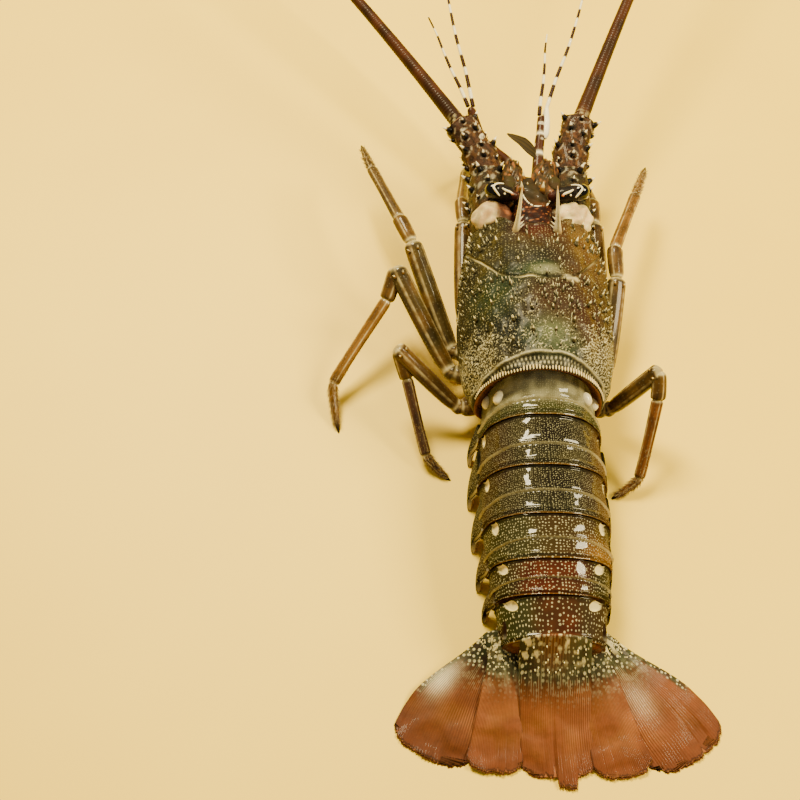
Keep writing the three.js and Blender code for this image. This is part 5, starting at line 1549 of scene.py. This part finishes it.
def mouth_leg(shape, side):
    """A mouth leg folded forward under the head, with a brush of bristles on its inner edge."""
    path = Path(mirrored(MOUTH_LEG, side))
    shape.tube(path, MOUTH_LEG_RINGS, leg_paint_for(0, "right", 8), sides=30, steps=90)
    rng = np.random.default_rng(31)
    bristles = 260
    place = rng.uniform(0.9, 2.9, bristles)
    point, way, across, lift = path.at(place)
    wide = column(MOUTH_LEG_RINGS, 1)(place)[:, None]
    inward = -side * across + lift * rng.uniform(-0.8, 0.6, (bristles, 1))
    lengths = rng.uniform(0.8, 1.9, bristles)
    shape.cones(point + unit(inward) * wide * 0.92, inward + way * 0.7, lengths, 0.09,
                [(0, 1, "gold"), (1, 0.2, "brown")], sides=3, sunk=0.2)


def sternum(shape):
    """The breast plate, with a groove between the feet of each pair of legs."""
    y = np.linspace(STERNUM_BACK, STERNUM_FRONT, 150)[:, None]
    around = turns(120)[None]
    share = (y - STERNUM_BACK) / (STERNUM_FRONT - STERNUM_BACK)
    half = mix(13.5, 6, share)
    spread, rise = signed_power(sin(around), 0.5), signed_power(cos(around), 0.5)
    grooves = sum(bump(y, hip, 0.7) for hip in (-5.5, 6.5, 18, 29, 38))
    spots = vectors(half * spread, y, 9 + 4 * rise)
    relief = -0.7 * grooves - 0.9 * bump(sin(around), 0, 0.12) * (rise < 0)
    knobs = sum(bump(y, hip, 1.8) for hip in reversed(LEG_HIPS))
    knobs = knobs * bump(abs(spots[..., 0]) / half, 0.72, 0.16)
    relief = relief + 0.6 * knobs * (rise < 0) - 0.5 * (fade(-11.6, -13, y) + fade(43, 44, y))
    spots = spots + normals(spots) * relief[..., None]
    paint = Paint(spots, "underside").over("gold", 0.5 * clouds(spots, 7, 130))
    paint.over("brown", 0.6 * grooves).over("red", 0.35 * fade(0.6, 0.8, clouds(spots, 5, 131)))
    paint.over("cream", 0.6 * knobs)
    shape.grid(spots, paint.tint, (0.25, 0.0, 0.2))


# Legs

# How far ahead the hip of each leg lies
LEG_HIPS = (34, 23.5, 12.5, 0.5, -11)
# The stretches of the legs, from the hip: bearing, rise and length. The hind pair lies folded back
HIND_LEG = [(170, -12, 6), (184, -3, 27), (180, -6, 8), (184, -6, 18), (186, -6, 9)]
LEG_STRETCHES = {
    "left": [
        [(100, 25, 10), (0, 12, 38), (2, 0, 11), (-5, -22, 25), (-8, -46, 16)],
        [(100, 7, 13.5), (23, 25, 40), (24, 5, 11.5), (22, -4, 28), (16, -13, 17)],
        [(92, 7, 14), (31, 24, 40), (161, -34, 11.5), (146, -23, 34), (188, -24, 17.5)],
        [(103, 8, 12), (61, 36, 28.5), (208, -48, 11), (198, -33, 26), (230, -26, 12)],
        HIND_LEG,
    ],
    "right": [
        [(100, 32, 11), (0, 9, 38), (0, 0, 11), (-6, -22, 25), (-8, -46, 16)],
        [(98, -8, 8.5), (-2, -6, 34), (-25, -2, 12), (-15, -3, 28), (-20, -6, 15)],
        [(91, 6, 10), (9, 21, 34), (0, 14, 12), (20, -5, 30), (19, -9, 18)],
        [(105, 8, 11), (86, 59, 24.5), (180, -47, 9.5), (194, -45, 26.5), (240, -30, 11.5)],
        HIND_LEG,
    ],
}
# How thick each leg is, as a share of the rings below
LEG_THICKNESS = (0.95, 1, 1, 0.9, 0.72)
UPPER_RINGS = [(0, 3.6, 3.4), (0.5, 3.7, 3.3), (0.72, 3.7, 3.2), (0.82, 2.9, 2.6), (0.92, 3.1, 2.7),
               (1.02, 2.7, 2.4), (1.08, 2.5, 2.2), (1.2, 2.9, 2.5), (1.5, 3.3, 2.7), (1.8, 3.3, 2.6),
               (1.93, 3.1, 2.6), (2, 2.2, 1.9)]
LOWER_RINGS = [(0, 1.9, 1.8), (0.25, 2.5, 2.2), (0.8, 2.7, 2.35), (0.93, 2.5, 2.1), (1.0, 1.75, 1.6),
               (1.08, 2.1, 1.8), (1.6, 1.9, 1.6), (1.92, 1.95, 1.65), (2.0, 1.35, 1.2), (2.1, 1.6, 1.4),
               (2.5, 1.3, 1.15), (2.8, 0.75, 0.7)]
CLAW_RINGS = [(2.62, 0.9, 0.85), (2.75, 0.8, 0.75), (2.88, 0.5, 0.5), (3, 0.12, 0.12)]
# Spines of an upper leg: place, angle and length
KNEE_SPINES = ((1.87, -10, 1.7), (1.87, 45, 1.5), (0.66, 20, 1.2), (0.66, -50, 1.1))
# For each leg: how golden, how olive and how purple its lower half is
LEG_HUES = {
    "left": [(0.7, 0.1, 0.3), (0.3, 0.7, 0), (0.95, 0.1, 0), (0.1, 0.1, 0.8), (0.6, 0.3, 0)],
    "right": [(0.7, 0.1, 0.3), (0.6, 0.3, 0), (0.95, 0.1, 0), (0.5, 0, 0.1), (0.6, 0.3, 0)],
}


def leg_joints(number, name):
    """The joints of a leg from its hip to its tip."""
    side = SIDES[name]
    joints = [mirrored((14.5, LEG_HIPS[number], 8.5), side)]
    for bearing, rise, length in LEG_STRETCHES[name][number]:
        joints.append(joints[-1] + heading(side, bearing, rise) * length)
    return joints


def leg_paint_for(number, name, seed, lower=False):
    """A rule for one leg: lengthwise stripes on olive or gold, partly painted highlights and shade, with pale
    joints.
    """
    golden, olive, purple = LEG_HUES[name][number]

    def rule(place, around, spots):
        soft, small = clouds(spots, 10, 140 + seed), clouds(spots, 2.5, 141 + seed)
        paint = Paint(spots, "leg_olive").over("gold", 0.35)
        if lower:
            shaft = fade(0.95, 1.1, place)
            paint.over("gold", golden * shaft).over("leg_olive", olive * shaft)
            paint.over("purple", purple * shaft).over("red", 0.45 * purple * shaft * soft)
            if (number, name) == (3, "right"):
                paint.over("rust", 0.55 * shaft)
        paint.over("dark", 0.35 * soft * (not lower))
        paint.over("green", 0.35 * soft * (not lower) * (number in (1, 2)))
        paint.over("brown", 0.2 * fade(0.5, 0.8, soft))
        paint.over("claw", 0.4 * fade(0.62, 0.8, clouds(spots, 7, 143 + seed)))
        angle = np.degrees(around)
        # Two pale lines along the top are partly stripes and partly painted highlights; the dark lines
        # between them and along the sides are partly painted shade
        pale_stripe_and_highlight = bump(angle, -30, 6) + bump(angle, 58, 5)
        dark_stripe_and_shade = bump(angle, 12, 12) + bump(abs(angle), 90, 16)
        paint.over("dark", 0.4 * dark_stripe_and_shade)
        paint.over("gold", 0.6 * pale_stripe_and_highlight).over("cream", 0.6 * pale_stripe_and_highlight * (0.3 + 0.7 * small))
        joints = (1.02, 2.0) if lower else (0.84, 1.06, 2.0)
        for joint in joints:
            paint.over("cream", 0.5 * bump(place, joint, 0.04) * (0.5 + 0.6 * small))
            paint.over("claw", 0.55 * bump(place, joint - 0.075, 0.02))
        if lower:
            paint.over("cream", 0.6 * bump(place, 0.04, 0.08)).over("claw", 0.6 * fade(2.45, 2.75, place))
        else:
            paint.over("underside", 0.7 * fade(0.85, 0.4, place))
        paint.over("underside", 0.6 * fade(-0.3, -0.8, cos(around)))
        return paint.tint, (0.12, 0.0, 0.1)

    return rule


def leg_swell(place, around):
    """Shallow ridges along a leg."""
    return 0.09 * cos(around * 5) - 0.04 * cos(around * 11 + place)


def leg_rings(rings, number):
    """Rings made thicker or thinner for one leg."""
    return [(place, *(wide * LEG_THICKNESS[number] for wide in wides)) for place, *wides in rings]


def leg_upper(shape, number, name):
    """Coxa, ischium and merus, with the spines of the knee."""
    path = Path(leg_joints(number, name)[:3], 0.2)
    rings = leg_rings(UPPER_RINGS, number)
    shape.tube(path, rings, leg_paint_for(number, name, number), sides=40, steps=170,
               swell=leg_swell, spacing=1.6)
    for place, degrees, tall in KNEE_SPINES:
        feet, out, way = on_limb(path, rings, place, SIDES[name] * math.radians(degrees))
        shape.cones(feet, out + way * 0.8, tall, 0.55, spine_stops("leg_olive", "gold", "cream"),
                    sides=10, sunk=0.5)


def leg_lower(shape, number, name):
    """Carpus, propodus and dactyl, with bristles towards the tip."""
    joints = leg_joints(number, name)[2:]
    joints[0] = joints[0] + unit(joints[1] - joints[0]) * 0.6
    path = Path(joints, 0.2)
    rings = leg_rings(LOWER_RINGS, number)
    shape.tube(path, rings, leg_paint_for(number, name, 10 + number, lower=True), sides=36, steps=200,
               swell=leg_swell, spacing=1.6)
    rng = np.random.default_rng(200 + number)
    count = 520 if number in (2, 3) else 300
    outer = count * 2 // 3
    place = np.concatenate([rng.uniform(2.05, 2.75, outer), rng.uniform(1.55, 2.05, count - outer)])
    point, way, across, lift = path.at(place)
    turn = rng.uniform(0, 2 * math.pi, count)[:, None]
    out = across * sin(turn) + lift * cos(turn)
    wide = (column(rings, 1)(place) + column(rings, 2)(place))[:, None] / 2
    feet = point + out * wide * 0.96
    lengths = size("seta_length") * rng.uniform(0.35, 1, count) * mix(0.55, 1, fade(1.9, 2.1, place))
    lengths = np.minimum(lengths, np.maximum(feet[:, 2] * 1.2, 0.2))
    shape.cones(feet, out + way * 1.3, lengths, 0.085,
                [(0, 1, "leg_olive"), (0.5, 0.7, "gold"), (1, 0.2, "cream")], sides=3, sunk=0.2)


def claw(shape, number, name):
    """The dark claw at the tip of a leg."""
    path = Path(leg_joints(number, name)[2:], 0.2)
    paint = coated("claw", (0, 0, 0), ("brown", 0.6, (2.8, 2.65)))
    shape.tube(path, leg_rings(CLAW_RINGS, number), paint, steps=24)


# Operators

def make_finishes():
    """All the finishes, by name."""
    return {
        "carapace": shell_finish("wet_spiny_shell", 0.42, 0.15, "speck", 0.22, 420, 1.2, pits=0.5,
                                 coat_blur=0.24),
        "somite": shell_finish("wet_dotted_shell", 0.34, 0.9, "speck", 0.26, 260, 0.08, 0.35, sheen=0.01),
        "fan": shell_finish("ribbed_web", 0.5, 0.12, "speck", 0.3, 300, 0.12, glow=0.08),
        "plate": shell_finish("head_shell", 0.42, 0.35, "pink", 0.26, 520, 0.3),
        "eye": shell_finish("glossy_eye", 0.1, 1.0, grain=900, grain_depth=0.0, mottle=0.1),
        "skin": shell_finish("soft_skin", 0.5, 0.2, grain=500, grain_depth=0.3, glow=0.15),
        "antenna": shell_finish("antenna_shell", 0.55, 0.2, "cream", 0.16, 600, 0.6),
        "lash": shell_finish("ringed_lash", 0.5, 0.15, grain=500, grain_depth=0.2),
        "antennule": shell_finish("banded_antennule", 0.45, 0.2, grain=700, grain_depth=0.1, mottle=0.25),
        "leg": shell_finish("striped_leg", 0.4, 0.42, dot_size=0.2),
        "claw": shell_finish("dark_horn", 0.3, 0.5, grain=900, grain_depth=0.1, mottle=0.3),
        "underside": shell_finish("pale_horn", 0.42, 0.3, grain=400, grain_depth=0.2, dot_size=0.2),
    }


FINISHES = {}


def finish_of(name):
    """A finish by its name, made the first time that one is asked for."""
    if not FINISHES:
        FINISHES.update(make_finishes())
    return FINISHES[name]


def make(name, finish, slot, nodes, *steps):
    """Makes a piece from its steps, each a building function and its arguments. It stands for the nodes."""
    shape = Shape()
    for build, *arguments in steps:
        build(shape, *arguments)
    shape.piece(name, finish_of(finish), slot, *nodes.split())


class LOBSTER_OT_carapace(Operator):
    """Builds the carapace with its horns, spines and knobs"""

    bl_idname = "lobster.carapace"
    bl_label = "Carapace"

    def execute(self, context):
        make("shell_carapace", "carapace", "shell", "carapace",
             (carapace_skin,), (carapace_spines,), (hind_beads,))
        for name, side in SIDES.items():
            make(f"horn_{name}", "plate", "shell", "", (horn, side))
            make(f"corner_spine_{name}", "plate", "shell", "", (corner_spine, side))
        return {"FINISHED"}


class LOBSTER_OT_head(Operator):
    """Builds the head's plate, the eyes with their stalks and the soft skin behind them"""

    bl_idname = "lobster.head"
    bl_label = "Head"

    def execute(self, context):
        make("head_plate", "plate", "shell", "antennular_plate", (antennular_plate,))
        for name, side in SIDES.items():
            make(f"eyeball_{name}", "eye", "eye", f"eye_{name}", (eyeball, name))
            make(f"stalk_{name}", "antenna", "eyestalk", f"eyestalk_{name}",
                 (eyestalk, name), (eye_lines, name))
            make(f"eye_skin_{name}", "skin", "underside", "", (eye_socket, side))
        return {"FINISHED"}


class LOBSTER_OT_antennae(Operator):
    """Builds the antennae: three stout segments and a long lash on each side"""

    bl_idname = "lobster.antennae"
    bl_label = "Antennae"

    def execute(self, context):
        for name in SIDES:
            for part in SEGMENTS:
                make(f"segment_{part}_{name}", "antenna", "antenna", f"antenna_{part}_{name}",
                     (antenna_segment, name, part))
            make(f"lash_{name}", "lash", "lash", f"antenna_lash_near_{name} antenna_lash_far_{name}",
                 (lash, name))
        return {"FINISHED"}


class LOBSTER_OT_antennules(Operator):
    """Builds the banded antennules"""

    bl_idname = "lobster.antennules"
    bl_label = "Antennules"

    def execute(self, context):
        for name in SIDES:
            make(f"stem_{name}", "antennule", "antennule", f"antennule_stem_{name}", (antennule_stem, name))
            for branch in ("outer", "inner"):
                make(f"branch_{branch}_{name}", "antennule", "antennule", f"antennule_{branch}_{name}",
                     (antennule_lash, name, branch))
        return {"FINISHED"}


class LOBSTER_OT_underside(Operator):
    """Builds the breast plate and the mouth legs"""

    bl_idname = "lobster.underside"
    bl_label = "Underside"

    def execute(self, context):
        make("breast_plate", "underside", "underside", "sternum", (sternum,))
        for name, side in SIDES.items():
            make(f"mouth_leg_{name}", "leg", "leg", f"maxilliped_{name}", (mouth_leg, side))
        return {"FINISHED"}


class LOBSTER_OT_abdomen(Operator):
    """Builds the six somites with their side plates, knobs and swimmerets"""

    bl_idname = "lobster.abdomen"
    bl_label = "Abdomen"

    def execute(self, context):
        for index in range(len(SOMITES)):
            make(f"somite_{index + 1}", "somite", "shell", f"abdomen_somite_{index + 1}",
                 (somite_shell, index), *((somite_side, index, side) for side in SIDES.values()))
        return {"FINISHED"}


class LOBSTER_OT_tail_fan(Operator):
    """Builds the telson and the four blades beside it"""

    bl_idname = "lobster.tail_fan"
    bl_label = "Tail fan"

    def execute(self, context):
        make("fan_telson", "fan", "fan", "telson", (fan_blade, TELSON, 1, 300, TELSON_TAB))
        for number, ((part, name), blade) in enumerate(BLADES.items()):
            make(f"fan_{part}_{name}", "fan", "fan", f"uropod_{part}_{name}",
                 (fan_blade, blade, SIDES[name], 310 + number))
        return {"FINISHED"}


class LOBSTER_OT_legs(Operator):
    """Builds the ten walking legs and their claws"""

    bl_idname = "lobster.legs"
    bl_label = "Legs"

    def execute(self, context):
        for name in SIDES:
            for index in range(len(LEG_HIPS)):
                number = f"{index + 1}_{name}"
                make(f"walker_{number}_upper", "leg", "leg", f"leg_{number}_upper", (leg_upper, index, name))
                make(f"walker_{number}_lower", "leg", "leg", f"leg_{number}_lower", (leg_lower, index, name))
                make(f"claw_{number}", "claw", "leg", "", (claw, index, name))
        return {"FINISHED"}


# Where the camera stands and how it looks down, the floor, the lamps' distance and the tints of the light
CAMERA_AT = (-41.3, -212.8, 331)
CAMERA_TILT, CAMERA_TURN = 33.54, 1.0
FLOOR_HALF_WIDTH, LAMP_DISTANCE = 8.0, 0.95
WARM, SKY_TINT = (1, 0.85, 0.5), (1, 0.9, 0.66)


def lamp(name, way, aim, power, width):
    """A square, warm and soft lamp that looks at a point of the animal."""
    light = bpy.data.lights.new(name, "AREA")
    light.energy, light.size, light.color = power, width, WARM
    made = in_scene(name, light)
    way = Vector(unit(way))
    made.location = Vector((aim + ORIGIN) * MM) + way * LAMP_DISTANCE
    made.rotation_euler = way.to_track_quat("Z", "Y").to_euler()


class LOBSTER_OT_stage(Operator):
    """Builds the floor, the lamps and the camera"""

    bl_idname = "lobster.stage"
    bl_label = "Stage"

    def execute(self, context):
        stage = context.scene.lobster_stage
        mesh = bpy.data.meshes.new("floor")
        half = FLOOR_HALF_WIDTH
        mesh.from_pydata([(-half, -half, 0), (half, -half, 0), (half, half, 0), (-half, half, 0)],
                         [], [(0, 1, 2, 3)])
        finish = Finish("pale_floor", {"Roughness": 0.55})
        cloud = finish.noise(finish.node("ShaderNodeTexCoord").outputs["Object"], 9, 3)
        tone = finish.blend(cloud * 0.8, rgba(stage.floor), rgba(np.array(stage.floor) * (0.86, 0.8, 0.66)))
        finish.feed("Base Color", tone)
        mesh.materials.append(finish.material)
        floor = in_scene("floor", mesh)

        world = context.scene.world = bpy.data.worlds.new("soft_sky")
        world.use_nodes = True
        background = world.node_tree.nodes["Background"]
        background.inputs["Color"].default_value = rgba(SKY_TINT)
        background.inputs["Strength"].default_value = stage.sky
        lamp("key_lamp", (-0.28, 0.5, 0.82), (0, -30, 36), stage.key_power, 0.3)
        lamp("side_lamp", (0.7, 0.12, 0.68), (8, -60, 33), stage.side_power, 0.32)

        camera = in_scene("camera", bpy.data.cameras.new("camera"))
        camera.data.lens, camera.data.sensor_width = stage.lens, 36
        camera.location = Vector((CAMERA_AT + ORIGIN) * MM)
        camera.rotation_euler = (math.radians(CAMERA_TILT), 0, math.radians(CAMERA_TURN))
        context.scene.camera = camera
        return {"FINISHED"}


class LOBSTER_PT_panel(Panel):
    """Sizes, colours and the steps that build the lobster"""

    bl_idname = "LOBSTER_PT_panel"
    bl_label = "Spiny Lobster"
    bl_space_type = "VIEW_3D"
    bl_region_type = "UI"
    bl_category = "Lobster"

    def draw(self, context):
        for group, settings in GROUPS:
            box = self.layout.box()
            for name in settings.__annotations__:
                box.prop(getattr(context.scene, group), name)
        for operator in OPERATORS:
            self.layout.operator(operator.bl_idname)


GROUPS = (("lobster_sizes", LobsterSizes), ("lobster_colours", LobsterColours),
          ("lobster_stage", LobsterStage))
OPERATORS = (LOBSTER_OT_carapace, LOBSTER_OT_head, LOBSTER_OT_antennae, LOBSTER_OT_antennules,
             LOBSTER_OT_underside, LOBSTER_OT_abdomen, LOBSTER_OT_tail_fan, LOBSTER_OT_legs, LOBSTER_OT_stage)


def register():
    """Adds the settings, the operators and the panel."""
    for name, group in GROUPS:
        bpy.utils.register_class(group)
        setattr(bpy.types.Scene, name, bpy.props.PointerProperty(type=group))
    for part in (*OPERATORS, LOBSTER_PT_panel):
        bpy.utils.register_class(part)


def unregister():
    """Takes them away again."""
    for part in (LOBSTER_PT_panel, *reversed(OPERATORS)):
        bpy.utils.unregister_class(part)
    for name, group in reversed(GROUPS):
        delattr(bpy.types.Scene, name)
        bpy.utils.unregister_class(group)


def main():
    """Builds everything."""
    register()
    for operator in OPERATORS:
        _, step = operator.bl_idname.split(".")
        getattr(bpy.ops.lobster, step)()


if __name__ == "__main__":
    main()
